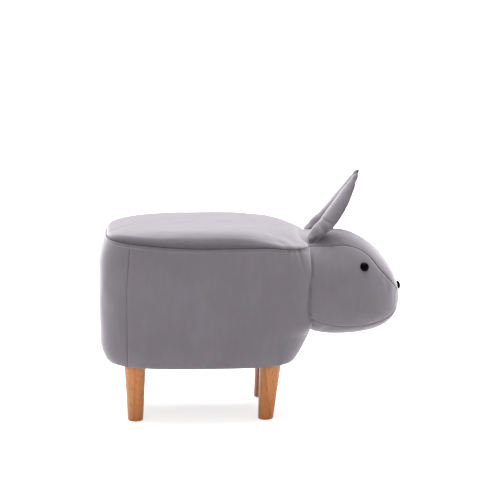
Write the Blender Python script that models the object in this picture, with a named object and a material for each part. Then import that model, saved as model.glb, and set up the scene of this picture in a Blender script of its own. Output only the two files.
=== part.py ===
# Upholstered footstool in the shape of a standing rabbit: a framed and padded body with a sewn
# cover, a stuffed head with two soft ears, and four turned wooden legs.
# Metres, +X towards the head, +Z up, feet on Z = 0.

import math

import bmesh
import bpy
from mathutils import Matrix, Vector

# Body cover
REAR_X = -0.300
FRONT_X = 0.138
MIDDLE_X = -0.085
BODY_WIDTH = 0.280
HEM_HEIGHT = 0.1125
SEAM_HEIGHT = 0.353
SEAM_REAR_RISE = 0.010
SEAM_FRONT_DROP = 0.0075
SEAM_DROP_SET_BACK = 0.118
SEAM_DROP_RUN = 0.080
CROWN_HEIGHT = 0.031
CROWN_FRONT_X = -0.020
CROWN_FRONT_DROP = 0.0085
CROWN_REAR_X = -0.130
CROWN_REAR_DROP = 0.0105
REAR_TOP_TUCK = 0.0135
REAR_HEM_TUCK = 0.013
SIDE_TOP_TUCK = 0.006
SIDE_HEM_TUCK = 0.009
FRONT_TOP_TUCK = 0.022
FRONT_HEM_TUCK = 0.049
REAR_SEAM_INSET = 0.060
CLOTH = 0.0015
GAP = 0.0003

# Padding and frame
WALL_FOAM = 0.008
SHELL_BOARD = 0.003
BASE_BOARD = 0.015
TOP_BOARD = 0.012
TOP_BOARD_DROP = 0.031
DUST_COVER = 0.0008
POST_WIDTH = 0.030
REAR_POST_INSET = 0.135
FRONT_POST_INSET = 0.138
SCREW_RADIUS = 0.002
SCREW_HEAD_RADIUS = 0.004
SCREW_HEAD = 0.002
SCREW_LENGTH = 0.038
SCREW_SINK = 0.0005

# Legs
LEG_TOP_RADIUS = 0.0217
LEG_FOOT_RADIUS = 0.0149
LEG_FOOT_ROUND = 0.0022
LEG_SIDE_INSET = 0.0555
REAR_LEG_INSET = 0.0695
FRONT_LEG_INSET = 0.1015
FRONT_FOOT_SET_BACK = 0.0100
BOLT_RADIUS = 0.004
BOLT_INTO_LEG = 0.038
BOLT_ABOVE_NUT = 0.003
NUT_BARREL_RADIUS = 0.0055
NUT_BARREL = 0.009
NUT_FLANGE_RADIUS = 0.010
NUT_FLANGE = 0.0016

# Head
HEAD_MIDDLE_REACH = 0.032
MUZZLE_REACH = 0.1572
HEAD_SINK = 0.053
HEAD_SIDE_INSET = 0.033
NECK_NARROWING = 0.007
NECK_RISE = 0.0200
NECK_CLEARANCE = 0.0006
MUZZLE_DROP = 0.120
BROW_RISE = 0.127
CHIN_DROP = 0.072

# Eyes and nose
EYE_SET_BACK = 0.0752
EYE_RISE = 0.0725
EYE_RADIUS = 0.0095
EYE_DOME = 0.0065
NOSE_RADIUS = 0.0088
NOSE_DOME = 0.0062
NOSE_RISE = 0.016
SHANK_RADIUS = 0.0022
SHANK = 0.013
WASHER_RADIUS = 0.0065
WASHER = 0.0016
WASHER_SINK = 0.0032

# Ears
EAR_LENGTH = 0.1612
EAR_HALF_WIDTH = 0.0300
EAR_ROOT_HALF_WIDTH = 0.0215
EAR_TIP_HALF_WIDTH = 0.0030
EAR_PADDING = 0.0135
EAR_ROOT_RADIUS = 0.0122
EAR_TROUGH = 0.0170
EAR_CLOTH = 0.0012
EAR_SPACING = 0.084
EAR_SET_BACK = 0.0410
EAR_ROOT_RISE = 0.0005
EAR_POCKET_SLACK = 0.0005
EAR_LEAN = math.radians(57.4)
LEFT_EAR_EXTRA_LEAN = math.radians(4.4)

CUT_OVERRUN = 0.004

# Places that follow from the sizes above
REAR_SEAM_X = REAR_X + REAR_SEAM_INSET
TOP_BOARD_HEIGHT = SEAM_HEIGHT - TOP_BOARD_DROP
MUZZLE_HEIGHT = SEAM_HEIGHT - MUZZLE_DROP
REAR_POST_X = REAR_X + REAR_POST_INSET
FRONT_POST_X = FRONT_X - FRONT_POST_INSET
LEG_SPACING = BODY_WIDTH - 2.0 * LEG_SIDE_INSET
REAR_LEG_X = REAR_X + REAR_LEG_INSET
FRONT_LEG_X = FRONT_X - FRONT_LEG_INSET
HEAD_MIDDLE_X = FRONT_X + HEAD_MIDDLE_REACH
MUZZLE_X = FRONT_X + MUZZLE_REACH
HEAD_BACK_X = FRONT_X - HEAD_SINK
HEAD_WIDTH = BODY_WIDTH - 2.0 * HEAD_SIDE_INSET
EYE_X = MUZZLE_X - EYE_SET_BACK
EYE_HEIGHT = MUZZLE_HEIGHT + EYE_RISE
NOSE_HEIGHT = MUZZLE_HEIGHT + NOSE_RISE
EAR_ROOT_X = HEAD_MIDDLE_X - EAR_SET_BACK

# Shares and exponents that shape the curves
REAR_EXPONENT_TOP = 3.4
FRONT_EXPONENT_TOP = 4.2
REAR_EXPONENT_HEM = 3.2
FRONT_EXPONENT_HEM = 3.4
TUCK_TOP_SHARE = 0.22
TUCK_HEM_SHARE = 0.17
FRONT_BELLY_SHARE = 0.64
CROWN_EDGE_EXPONENT = 6.0
CROWN_RISE_EXPONENT = 1.9
HEAD_SECTION_EXPONENT = 2.8
HEAD_PLAN_EXPONENT = 2.2
BROW_EXPONENT = 1.75
CHIN_EXPONENT = 2.65
SEAM_STATION_SHARES = (0.0, 0.16, 0.33, 0.50, 0.58, 0.67, 0.82, 1.0)
BROW_SEAM_DEGREES = (54.0, 54.0, 53.5, 55.0, 52.0, 41.0, 31.0, 21.0)
CHIN_SEAM_DEGREES = (-22.0, -24.5, -33.0, -37.0, -37.0, -37.0, -37.5, -38.0)
EAR_WIDEST_SHARE = 0.42
EAR_FLAT_ROOT_SHARE = 0.13
EAR_TIP_EXPONENT = 2.2
EAR_THINNING_SHARE = 0.55
EAR_EDGE_EXPONENT = 4.0
SCREW_POINT_SHARE = 0.25
BUTTON_TOP_SHARE = 0.05
BUTTON_STEPS = 7
PANEL_TIP_SHARE = 0.985
EAR_STATION_SHARES = (0.002, 0.025, 0.06, 0.11, 0.19, 0.31, 0.45, 0.60, 0.75, 0.89, 1.0)
EAR_COLUMN_SHARES = (-1.0, -0.84, -0.58, -0.30, 0.0, 0.30, 0.58, 0.84, 1.0)
SEAM_HEIGHT_SHARE = 0.5
WALL_LEVEL_SHARES = (0.0, 0.11, 0.32, 0.6, 0.85, 1.0)
CROWN_RING_SHARES = (1.0, 0.985, 0.955, 0.90, 0.80, 0.60, 0.32)

AROUND_BODY = 40
HEAD_STATIONS = 12
SIDE_COLUMNS = 8
CROWN_COLUMNS = 10
CHIN_COLUMNS = 10
AROUND_LEG = 24
AROUND_BUTTON = 18
AROUND_BOLT = 12
AROUND_SCREW = 8


def clear_scene():
    for item in list(bpy.data.objects):
        bpy.data.objects.remove(item, do_unlink=True)


def make_material(name, colour, roughness, metallic=0.0):
    material = bpy.data.materials.new(name)
    material.use_nodes = True
    shader = material.node_tree.nodes["Principled BSDF"]
    shader.inputs["Base Color"].default_value = (*colour, 1.0)
    shader.inputs["Roughness"].default_value = roughness
    shader.inputs["Metallic"].default_value = metallic
    material.diffuse_color = (*colour, 1.0)
    return material


def finish_mesh(name, mesh_builder, material, sharp_angle=math.radians(40.0)):
    """Turns a bmesh into a named object with outward faces and smooth shading. Quads split the
    same way everywhere, so that layers which follow one surface keep their gap."""
    quads = [face for face in mesh_builder.faces if len(face.verts) == 4]
    bmesh.ops.triangulate(mesh_builder, faces=quads, quad_method="FIXED")
    bmesh.ops.recalc_face_normals(mesh_builder, faces=mesh_builder.faces)
    mesh = bpy.data.meshes.new(name)
    mesh_builder.to_mesh(mesh)
    mesh_builder.free()
    mesh.shade_smooth()
    mesh.set_sharp_from_angle(angle=sharp_angle)
    mesh.materials.append(material)
    made = bpy.data.objects.new(name, mesh)
    bpy.context.collection.objects.link(made)
    return made


def loft(name, rings, material, first_point=None, last_point=None):
    """Closed body through rings of equal count. A ring end closes on a point or on a flat cap."""
    builder = bmesh.new()
    loops = [[builder.verts.new(point) for point in ring] for ring in rings]
    count = len(loops[0])
    for lower, upper in zip(loops, loops[1:]):
        for place in range(count):
            after = (place + 1) % count
            builder.faces.new((lower[place], lower[after], upper[after], upper[place]))
    for loop, point in ((loops[0], first_point), (loops[-1], last_point)):
        if point is None:
            builder.faces.new(loop)
        else:
            pole = builder.verts.new(point)
            for place in range(count):
                builder.faces.new((loop[place], loop[(place + 1) % count], pole))
    return finish_mesh(name, builder, material)


def ring_wall(name, outer_rings, inner_rings, material):
    """Closed tube wall between a stack of outer rings and a stack of inner rings."""
    builder = bmesh.new()
    stack = list(outer_rings) + list(reversed(inner_rings))
    loops = [[builder.verts.new(point) for point in ring] for ring in stack]
    count = len(loops[0])
    for step, lower in enumerate(loops):
        upper = loops[(step + 1) % len(loops)]
        if step >= len(outer_rings):
            lower, upper = upper, lower
        for place in range(count):
            after = (place + 1) % count
            builder.faces.new((lower[place], lower[after], upper[after], upper[place]))
    return finish_mesh(name, builder, material)


def slab(name, front, back, column_values, row_values, material):
    """Closed sheet between two surfaces, each a function of a column value and a row value."""
    builder = bmesh.new()
    columns, rows = len(column_values) - 1, len(row_values) - 1
    sides = []
    for surface in (front, back):
        sides.append([[builder.verts.new(surface(column, row)) for row in row_values]
                      for column in column_values])
    for grid in sides:
        for column in range(columns):
            for row in range(rows):
                builder.faces.new((grid[column][row], grid[column + 1][row],
                                   grid[column + 1][row + 1], grid[column][row + 1]))
    rim = [(column, 0) for column in range(columns)]
    rim += [(columns, row) for row in range(rows)]
    rim += [(column, rows) for column in range(columns, 0, -1)]
    rim += [(0, row) for row in range(rows, 0, -1)]
    for place, (column, row) in enumerate(rim):
        next_column, next_row = rim[(place + 1) % len(rim)]
        builder.faces.new((sides[0][column][row], sides[0][next_column][next_row],
                           sides[1][next_column][next_row], sides[1][column][row]))
    return finish_mesh(name, builder, material)


def circle(place, radius, height, sides, direction=Vector((0.0, 0.0, 1.0))):
    """Ring of points about a line from a place along a direction, at a height on that line."""
    turn = Vector((0.0, 0.0, 1.0)).rotation_difference(direction.normalized()).to_matrix()
    ring = []
    for step in range(sides):
        angle = 2.0 * math.pi * step / sides
        local = Vector((radius * math.cos(angle), radius * math.sin(angle), height))
        ring.append(place + turn @ local)
    return ring


def turned(name, profile, material, place, sides, direction=Vector((0.0, 0.0, 1.0)), shear=None):
    """Solid of revolution from (radius, height) points, stood on a place along a direction."""
    rings = []
    for radius, height in profile:
        offset = Vector((shear(height), 0.0, 0.0)) if shear else Vector()
        rings.append(circle(place + offset, radius, height, sides, direction))
    return loft(name, rings, material)


def box(name, low, high, material):
    builder = bmesh.new()
    bmesh.ops.create_cube(builder, size=1.0)
    size = Vector(high) - Vector(low)
    middle = (Vector(high) + Vector(low)) / 2.0
    bmesh.ops.transform(builder, matrix=Matrix.Translation(middle) @ Matrix.Diagonal((*size, 1.0)),
                        verts=builder.verts)
    return finish_mesh(name, builder, material)


def make_cutter(target):
    target.hide_render = True
    target.display_type = "WIRE"
    return target


def cut(target, cutter):
    """Takes the cutter's shape out of the target."""
    boolean = target.modifiers.new("cut_" + cutter.name, "BOOLEAN")
    boolean.operation = "DIFFERENCE"
    boolean.solver = "EXACT"
    boolean.object = cutter


def ease(share):
    share = min(max(share, 0.0), 1.0)
    return share * share * (3.0 - 2.0 * share)


# Body surface

def seam_height(x):
    rear_share = ease((MIDDLE_X - x) / (MIDDLE_X - REAR_X))
    front_share = ease((x - FRONT_X + SEAM_DROP_SET_BACK) / SEAM_DROP_RUN)
    return SEAM_HEIGHT + SEAM_REAR_RISE * rear_share - SEAM_FRONT_DROP * front_share


def body_section(angle, height_share, inset, scale=1.0):
    """Plan point of the cover at a share of the wall's height, moved in by an inset."""
    top = max(0.0, (height_share - 1.0 + TUCK_TOP_SHARE) / TUCK_TOP_SHARE) ** 2
    hem = max(0.0, (TUCK_HEM_SHARE - height_share) / TUCK_HEM_SHARE) ** 2
    belly_above = max(0.0, (height_share - FRONT_BELLY_SHARE) / (1.0 - FRONT_BELLY_SHARE)) ** 2
    belly_below = max(0.0, (FRONT_BELLY_SHARE - height_share) / FRONT_BELLY_SHARE) ** 2
    rear = MIDDLE_X - REAR_X - REAR_TOP_TUCK * top - REAR_HEM_TUCK * hem - inset
    front = (FRONT_X - MIDDLE_X - FRONT_TOP_TUCK * belly_above
             - FRONT_HEM_TUCK * belly_below - inset)
    side = BODY_WIDTH / 2.0 - SIDE_TOP_TUCK * top - SIDE_HEM_TUCK * hem - inset
    along, across = math.cos(angle), math.sin(angle)
    if along > 0.0:
        reach, hem_power, top_power = front, FRONT_EXPONENT_HEM, FRONT_EXPONENT_TOP
    else:
        reach, hem_power, top_power = rear, REAR_EXPONENT_HEM, REAR_EXPONENT_TOP
    power = hem_power + (top_power - hem_power) * ease(height_share)
    radius = ((abs(along) / reach) ** power + (abs(across) / side) ** power) ** (-1.0 / power)
    return MIDDLE_X + scale * radius * along, scale * radius * across


def wall_point(angle, height, inset):
    """Point of the wall at a level height, or just under the seam where the height is None."""
    if height is None:
        x, y = body_section(angle, 1.0, inset)
        return Vector((x, y, seam_height(x) - GAP))
    share = (height - HEM_HEIGHT) / (SEAM_HEIGHT - HEM_HEIGHT)
    for _ in range(4):
        x, y = body_section(angle, share, inset)
        share = (height - HEM_HEIGHT) / (seam_height(x) - HEM_HEIGHT)
    return Vector((x, y, height))


def ring_angles():
    return [2.0 * math.pi * step / AROUND_BODY for step in range(AROUND_BODY)]


def angles_between(first, last):
    """Both ends, with the body's ring angles that lie between them."""
    slip = GAP / BODY_WIDTH
    inner = [angle for angle in ring_angles() if first + 2.0 * slip < angle < last - 2.0 * slip]
    return [first + slip] + inner + [last - slip]


def level_ring(height, inset):
    return [wall_point(angle, height, inset) for angle in ring_angles()]


def wall_levels():
    """Heights at which the wall's layers bend together, from the base board to the top board."""
    low, high = base_top(), TOP_BOARD_HEIGHT
    between = [low + (high - low) * share for share in WALL_LEVEL_SHARES]
    return [base_bottom(), *between, high + TOP_BOARD]


def crown_ring(scale, inset):
    """Ring of the seat's crown, from 1 at the seam to 0 at the middle."""
    rise = (1.0 - scale ** CROWN_EDGE_EXPONENT) ** (1.0 / CROWN_RISE_EXPONENT)
    ring = []
    for angle in ring_angles():
        x, y = body_section(angle, 1.0, inset, scale)
        front_share = ease((x - CROWN_FRONT_X) / (FRONT_X - CROWN_FRONT_X))
        rear_share = ease((CROWN_REAR_X - x) / (CROWN_REAR_X - REAR_X))
        height = CROWN_HEIGHT - CROWN_FRONT_DROP * front_share - CROWN_REAR_DROP * rear_share
        ring.append(Vector((x, y, seam_height(x) + (height - inset) * rise)))
    return ring


def crown_top(inset):
    return Vector((MIDDLE_X, 0.0, seam_height(MIDDLE_X) + CROWN_HEIGHT - inset))


def make_body_cutter(name, margin, material):
    """Closed form of the whole body with a margin, for cutting what leans on it."""
    rings = [level_ring(height, -margin) for height in [HEM_HEIGHT - margin, *wall_levels()]]
    rings += [crown_ring(share, -margin) for share in CROWN_RING_SHARES]
    return make_cutter(loft(name, rings, material, last_point=crown_top(-margin)))


def angle_at(x, height_share, inset):
    """Angle about the body's middle at which its left side reaches a station."""
    low, high = 0.0, math.pi
    for _ in range(40):
        middle = (low + high) / 2.0
        if body_section(middle, height_share, inset)[0] > x:
            low = middle
        else:
            high = middle
    return low


def make_seat(velvet, foam):
    seat_seam = CLOTH + GAP
    rings = [level_ring(TOP_BOARD_HEIGHT + TOP_BOARD + GAP, CLOTH + GAP)]
    rings += [crown_ring(share, seat_seam) for share in CROWN_RING_SHARES]
    loft("seat_foam", rings, foam, last_point=crown_top(seat_seam))

    outer = [crown_ring(share, 0.0) for share in CROWN_RING_SHARES]
    inner = [crown_ring(share, CLOTH) for share in CROWN_RING_SHARES]
    loft("seat_panel", list(reversed(outer)) + inner, velvet,
         first_point=crown_top(0.0), last_point=crown_top(CLOTH))


def make_wall_layer(name, first_angle, last_angle, heights, inset, thickness, material):
    """Sheet of one thickness that follows the wall between two angles."""
    def surface(depth):
        return lambda angle, height: wall_point(angle, height, depth)
    return slab(name, surface(inset), surface(inset + thickness),
                angles_between(first_angle, last_angle), heights, material)


def make_cover(velvet, lining):
    seam = angle_at(REAR_SEAM_X, SEAM_HEIGHT_SHARE, 0.0)
    full = 2.0 * math.pi
    heights = [HEM_HEIGHT, *wall_levels(), None]
    make_wall_layer("flank_panel_left", 0.0, seam, heights, 0.0, CLOTH, velvet)
    make_wall_layer("flank_panel_right", full - seam, full, heights, 0.0, CLOTH, velvet)
    make_wall_layer("rear_panel", seam, full - seam, heights, 0.0, CLOTH, velvet)

    top = base_bottom() - GAP
    inset = CLOTH + GAP
    rings = [level_ring(top - DUST_COVER, inset), level_ring(top, inset)]
    dust_cover = loft("dust_cover", rings, lining)
    for cutter in bolt_cutters():
        cut(dust_cover, cutter)


def base_bottom():
    return HEM_HEIGHT + DUST_COVER + GAP + CLOTH


def base_top():
    return base_bottom() + BASE_BOARD


def leg_places():
    for side_name, side in (("right", -1.0), ("left", 1.0)):
        for end_name, x in (("front", FRONT_LEG_X), ("rear", REAR_LEG_X)):
            yield end_name + "_" + side_name, Vector((x, side * LEG_SPACING / 2.0, 0.0))


def post_places():
    half = POST_WIDTH / 2.0
    shell = CLOTH + WALL_FOAM + SHELL_BOARD + 4.0 * GAP
    for side_name, side in (("right", -1.0), ("left", 1.0)):
        for end_name, x, outer_corner in (("front", FRONT_POST_X, half), ("rear", REAR_POST_X, -half)):
            corner_angle = angle_at(x + outer_corner, 0.0, shell)
            inner = body_section(corner_angle, 0.0, shell)[1] - half
            yield end_name + "_" + side_name, Vector((x, side * inner, 0.0))


CUTTERS = {}


def bolt_cutters():
    """Stepped holes for the tee nuts in the base board, with the bolts' holes below them."""
    if "bolts" not in CUTTERS:
        found = []
        for label, place in leg_places():
            profile = [(BOLT_RADIUS + GAP, HEM_HEIGHT - CUT_OVERRUN),
                       (BOLT_RADIUS + GAP, base_top() - NUT_BARREL - GAP),
                       (NUT_BARREL_RADIUS + GAP, base_top() - NUT_BARREL - GAP),
                       (NUT_BARREL_RADIUS + GAP, base_top() + CUT_OVERRUN)]
            found.append(make_cutter(turned("bolt_hole_" + label, profile, CUTTERS["material"],
                                            place, AROUND_BOLT)))
        CUTTERS["bolts"] = found
    return CUTTERS["bolts"]


def make_screw(label, place, head_height, pointing, steel):
    """Countersunk screw with its head at a height, pointing up (1) or down (-1)."""
    profile = [(SCREW_HEAD_RADIUS, 0.0), (SCREW_RADIUS, SCREW_HEAD),
               (SCREW_RADIUS, SCREW_LENGTH - 2.0 * SCREW_RADIUS),
               (SCREW_RADIUS * SCREW_POINT_SHARE, SCREW_LENGTH)]
    hole = [(SCREW_HEAD_RADIUS + GAP, -CUT_OVERRUN), (SCREW_HEAD_RADIUS + GAP, GAP),
            (SCREW_RADIUS + GAP, SCREW_HEAD + GAP), (SCREW_RADIUS + GAP, SCREW_LENGTH + GAP)]
    start = place + Vector((0.0, 0.0, head_height))
    direction = Vector((0.0, 0.0, pointing))
    turned(label, profile, steel, start, AROUND_SCREW, direction)
    return make_cutter(turned("hole_" + label, hole, steel, start, AROUND_SCREW, direction))


def make_frame(pine, plywood, hardboard, foam, steel):
    board_inset = CLOTH + WALL_FOAM + SHELL_BOARD + 3.0 * GAP
    top_bottom = TOP_BOARD_HEIGHT
    base_rings = [level_ring(height, board_inset) for height in (base_bottom(), base_top())]
    base_board = loft("base_board", base_rings, plywood)
    for cutter in bolt_cutters():
        cut(base_board, cutter)
    top_rings = [level_ring(height, board_inset) for height in (top_bottom, top_bottom + TOP_BOARD)]
    top_board = loft("top_board", top_rings, plywood)

    half = POST_WIDTH / 2.0
    for label, place in post_places():
        low = place + Vector((-half, -half, base_top() + GAP))
        high = place + Vector((half, half, top_bottom - GAP))
        post = box("post_" + label, low, high, pine)
        low_hole = make_screw("base_screw_" + label, place, base_bottom() + SCREW_SINK, 1.0, steel)
        high_hole = make_screw("top_screw_" + label, place, top_bottom + TOP_BOARD - SCREW_SINK,
                               -1.0, steel)
        cut(base_board, low_hole)
        cut(post, low_hole)
        cut(top_board, high_hole)
        cut(post, high_hole)

    shell_inset = CLOTH + WALL_FOAM + 2.0 * GAP
    for label, first in (("left", 0.0), ("right", math.pi)):
        make_wall_layer("shell_board_" + label, first, first + math.pi, wall_levels(), shell_inset,
                        SHELL_BOARD, hardboard)
    outer = [level_ring(height, CLOTH + GAP) for height in wall_levels()]
    inner = [level_ring(height, CLOTH + GAP + WALL_FOAM) for height in wall_levels()]
    ring_wall("wall_foam", outer, inner, foam)


def make_legs(wood, steel):
    """Turned legs, each hung on a bolt that screws into a tee nut in the base board."""
    leg_top = base_bottom() - 2.0 * GAP - DUST_COVER
    for label, place in leg_places():
        set_back = FRONT_FOOT_SET_BACK if label.startswith("front") else 0.0

        def shear(height, set_back=set_back):
            return -set_back * (leg_top - height) / leg_top
        bore = BOLT_RADIUS + GAP
        bore_bottom = leg_top - BOLT_INTO_LEG - GAP
        round_corner = LEG_FOOT_RADIUS - LEG_FOOT_ROUND
        profile = [(round_corner, 0.0)]
        for turn in (30.0, 60.0, 90.0):
            angle = math.radians(turn)
            profile.append((round_corner + LEG_FOOT_ROUND * math.sin(angle),
                            LEG_FOOT_ROUND * (1.0 - math.cos(angle))))
        profile.append((LEG_TOP_RADIUS, leg_top))
        leg = turned("leg_" + label, profile, wood, place, AROUND_LEG, shear=shear)
        hole = [(bore, bore_bottom), (bore, leg_top + CUT_OVERRUN)]
        cut(leg, make_cutter(turned("leg_bore_" + label, hole, steel, place, AROUND_BOLT)))

        bolt_top = base_top() + BOLT_ABOVE_NUT
        bolt = [(BOLT_RADIUS / 2.0, leg_top - BOLT_INTO_LEG),
                (BOLT_RADIUS, leg_top - BOLT_INTO_LEG + 2.0 * BOLT_RADIUS), (BOLT_RADIUS, bolt_top)]
        turned("leg_bolt_" + label, bolt, steel, place, AROUND_BOLT)

        inner = BOLT_RADIUS + GAP
        barrel_bottom = base_top() - NUT_BARREL
        flange_bottom = base_top() + GAP
        flange_top = flange_bottom + NUT_FLANGE
        rings = []
        for radius, height in ((inner, barrel_bottom), (NUT_BARREL_RADIUS, barrel_bottom),
                               (NUT_BARREL_RADIUS, flange_bottom), (NUT_FLANGE_RADIUS, flange_bottom),
                               (NUT_FLANGE_RADIUS, flange_top), (inner, flange_top)):
            rings.append(circle(place, radius, height, AROUND_BOLT))
        ring_wall("tee_nut_" + label, rings[1:5], [rings[0], rings[5]], steel)


# Head surface

def head_section(x):
    """Half width, height above and depth below the muzzle's level at one station."""
    if x >= HEAD_MIDDLE_X:
        share = min(1.0, (x - HEAD_MIDDLE_X) / (MUZZLE_X - HEAD_MIDDLE_X))
        width = (1.0 - share ** HEAD_PLAN_EXPONENT) ** (1.0 / HEAD_PLAN_EXPONENT)
        above = (1.0 - share ** BROW_EXPONENT) ** (1.0 / BROW_EXPONENT)
        below = (1.0 - share ** CHIN_EXPONENT) ** (1.0 / CHIN_EXPONENT)
        return HEAD_WIDTH / 2.0 * width, BROW_RISE * above, CHIN_DROP * below
    share = (HEAD_MIDDLE_X - x) / (HEAD_MIDDLE_X - HEAD_BACK_X)
    width = HEAD_WIDTH / 2.0 - NECK_NARROWING * share * share
    return width, BROW_RISE, CHIN_DROP - NECK_RISE * share * share


def head_point(length_share, angle, inset):
    """Point of the head from 0 at its hidden back to 1 at the muzzle, moved in by an inset."""
    neck_share = (HEAD_MIDDLE_X - HEAD_BACK_X) / (MUZZLE_X - HEAD_BACK_X)
    if length_share <= neck_share:
        x = HEAD_BACK_X + (MUZZLE_X - HEAD_BACK_X) * length_share
        tip = x
    else:
        turn = (length_share - neck_share) / (1.0 - neck_share) * math.pi / 2.0
        x = HEAD_MIDDLE_X + (MUZZLE_X - HEAD_MIDDLE_X) * math.sin(turn)
        tip = HEAD_MIDDLE_X + (MUZZLE_X - HEAD_MIDDLE_X - inset) * math.sin(turn)
    width, above, below = head_section(x)
    shrink = 1.0 - inset / (HEAD_WIDTH / 2.0)
    across, up = math.cos(angle), math.sin(angle)
    power = HEAD_SECTION_EXPONENT
    radius = (abs(across) ** power + abs(up) ** power) ** (-1.0 / power)
    half_height = above if up > 0.0 else below
    full_height = BROW_RISE if up > 0.0 else CHIN_DROP
    shrink_up = 1.0 - inset / full_height
    return Vector((tip, width * shrink * radius * across,
                   MUZZLE_HEIGHT + half_height * shrink_up * radius * up))


def mirror_angles(angles):
    return tuple(math.pi - angle for angle in angles)


def head_panels():
    """Name, lower seam, upper seam and columns of each sewn panel, once around the head."""
    brow = tuple(math.radians(angle) for angle in BROW_SEAM_DEGREES)
    chin = tuple(math.radians(angle) for angle in CHIN_SEAM_DEGREES)
    under = tuple(2.0 * math.pi + angle for angle in chin)
    return (("head_side_left", chin, brow, SIDE_COLUMNS),
            ("head_crown_panel", brow, mirror_angles(brow), CROWN_COLUMNS),
            ("head_side_right", mirror_angles(brow), mirror_angles(chin), SIDE_COLUMNS),
            ("head_chin_panel", mirror_angles(chin), under, CHIN_COLUMNS))


def seam_angle(seam, length_share):
    """Angle of a seam, given as its angles at stations from the neck to the muzzle."""
    stations = SEAM_STATION_SHARES
    for place, (start, finish) in enumerate(zip(stations, stations[1:])):
        if length_share <= finish:
            part = (length_share - start) / (finish - start)
            return seam[place] + (seam[place + 1] - seam[place]) * part
    return seam[-1]


def head_ring(length_share, inset):
    """Ring of the head with its points in the columns of the panels that cover it."""
    ring = []
    for _, first_seam, last_seam, columns in head_panels():
        first, last = seam_angle(first_seam, length_share), seam_angle(last_seam, length_share)
        ring += [head_point(length_share, first + (last - first) * column / columns, inset)
                 for column in range(columns)]
    return ring


def head_panel(name, first_seam, last_seam, columns, velvet, body_cutter):
    slip = GAP / (HEAD_WIDTH / 2.0)

    def surface(inset):
        def point(column_share, share):
            first, last = seam_angle(first_seam, share) + slip, seam_angle(last_seam, share) - slip
            return head_point(share, first + (last - first) * column_share, inset)
        return point
    column_shares = [column / columns for column in range(columns + 1)]
    stations = [step / HEAD_STATIONS for step in range(HEAD_STATIONS)] + [PANEL_TIP_SHARE]
    panel = slab(name, surface(0.0), surface(CLOTH), column_shares, stations, velvet)
    cut(panel, body_cutter)
    return panel


def surface_frame(x, height, side):
    """Point and outward direction of the head's side at a station and a height."""
    width, above, below = head_section(x)
    full = above if height > MUZZLE_HEIGHT else below
    level = abs(height - MUZZLE_HEIGHT) / full

    def side_at(station, tall):
        half, up, down = head_section(station)
        share = abs(tall - MUZZLE_HEIGHT) / (up if tall > MUZZLE_HEIGHT else down)
        return half * (1.0 - share ** HEAD_SECTION_EXPONENT) ** (1.0 / HEAD_SECTION_EXPONENT)
    reach = width * (1.0 - level ** HEAD_SECTION_EXPONENT) ** (1.0 / HEAD_SECTION_EXPONENT)
    slope_x = (side_at(x + CLOTH, height) - side_at(x - CLOTH, height)) / (2.0 * CLOTH)
    slope_z = (side_at(x, height + CLOTH) - side_at(x, height - CLOTH)) / (2.0 * CLOTH)
    outward = Vector((-slope_x, side, -slope_z)).normalized()
    return Vector((x, side * reach, height)), outward


def front_x(height):
    """Station at which the head's middle line reaches a height above the muzzle's level."""
    share = (height - MUZZLE_HEIGHT) / BROW_RISE
    forward = (1.0 - share ** BROW_EXPONENT) ** (1.0 / BROW_EXPONENT)
    return HEAD_MIDDLE_X + (MUZZLE_X - HEAD_MIDDLE_X) * forward


def nose_frame():
    x = front_x(NOSE_HEIGHT)
    slope = (front_x(NOSE_HEIGHT + CLOTH) - front_x(NOSE_HEIGHT - CLOTH)) / (2.0 * CLOTH)
    return Vector((x, 0.0, NOSE_HEIGHT)), Vector((1.0, 0.0, -slope)).normalized()


def button_profile(radius, dome):
    """Domed button with its shank, from the shank's end up to the top of the dome."""
    profile = [(SHANK_RADIUS, -SHANK), (SHANK_RADIUS, 0.0), (radius, 0.0)]
    for step in range(1, BUTTON_STEPS):
        angle = math.pi / 2.0 * step / BUTTON_STEPS
        profile.append((radius * math.cos(angle), dome * math.sin(angle)))
    profile.append((radius * BUTTON_TOP_SHARE, dome))
    return profile


def make_button(name, place, outward, radius, dome, plastic, washer_plastic):
    """Button, its lock washer behind the cloth, and the pocket that both need."""
    seat = place + outward * GAP
    turned(name, button_profile(radius, dome), plastic, seat, AROUND_BUTTON, outward)
    washer_top = -CLOTH - WASHER_SINK
    inner = SHANK_RADIUS + GAP
    rings = []
    for ring_radius, height in ((inner, washer_top - WASHER), (WASHER_RADIUS, washer_top - WASHER),
                                (WASHER_RADIUS, washer_top), (inner, washer_top)):
        rings.append(circle(seat, ring_radius, height, AROUND_BUTTON, outward))
    ring_wall(name + "_washer", rings[1:3], [rings[0], rings[3]], washer_plastic)
    wide = WASHER_RADIUS + GAP
    shank_hole = [(inner, -SHANK - CUT_OVERRUN), (inner, CUT_OVERRUN)]
    pocket = [(inner, -SHANK - GAP), (inner, washer_top - WASHER - GAP),
              (wide, washer_top - WASHER - GAP), (wide, CUT_OVERRUN)]
    return (make_cutter(turned("hole_" + name, shank_hole, plastic, seat, AROUND_BUTTON, outward)),
            make_cutter(turned("pocket_" + name, pocket, plastic, seat, AROUND_BUTTON, outward)))


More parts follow.
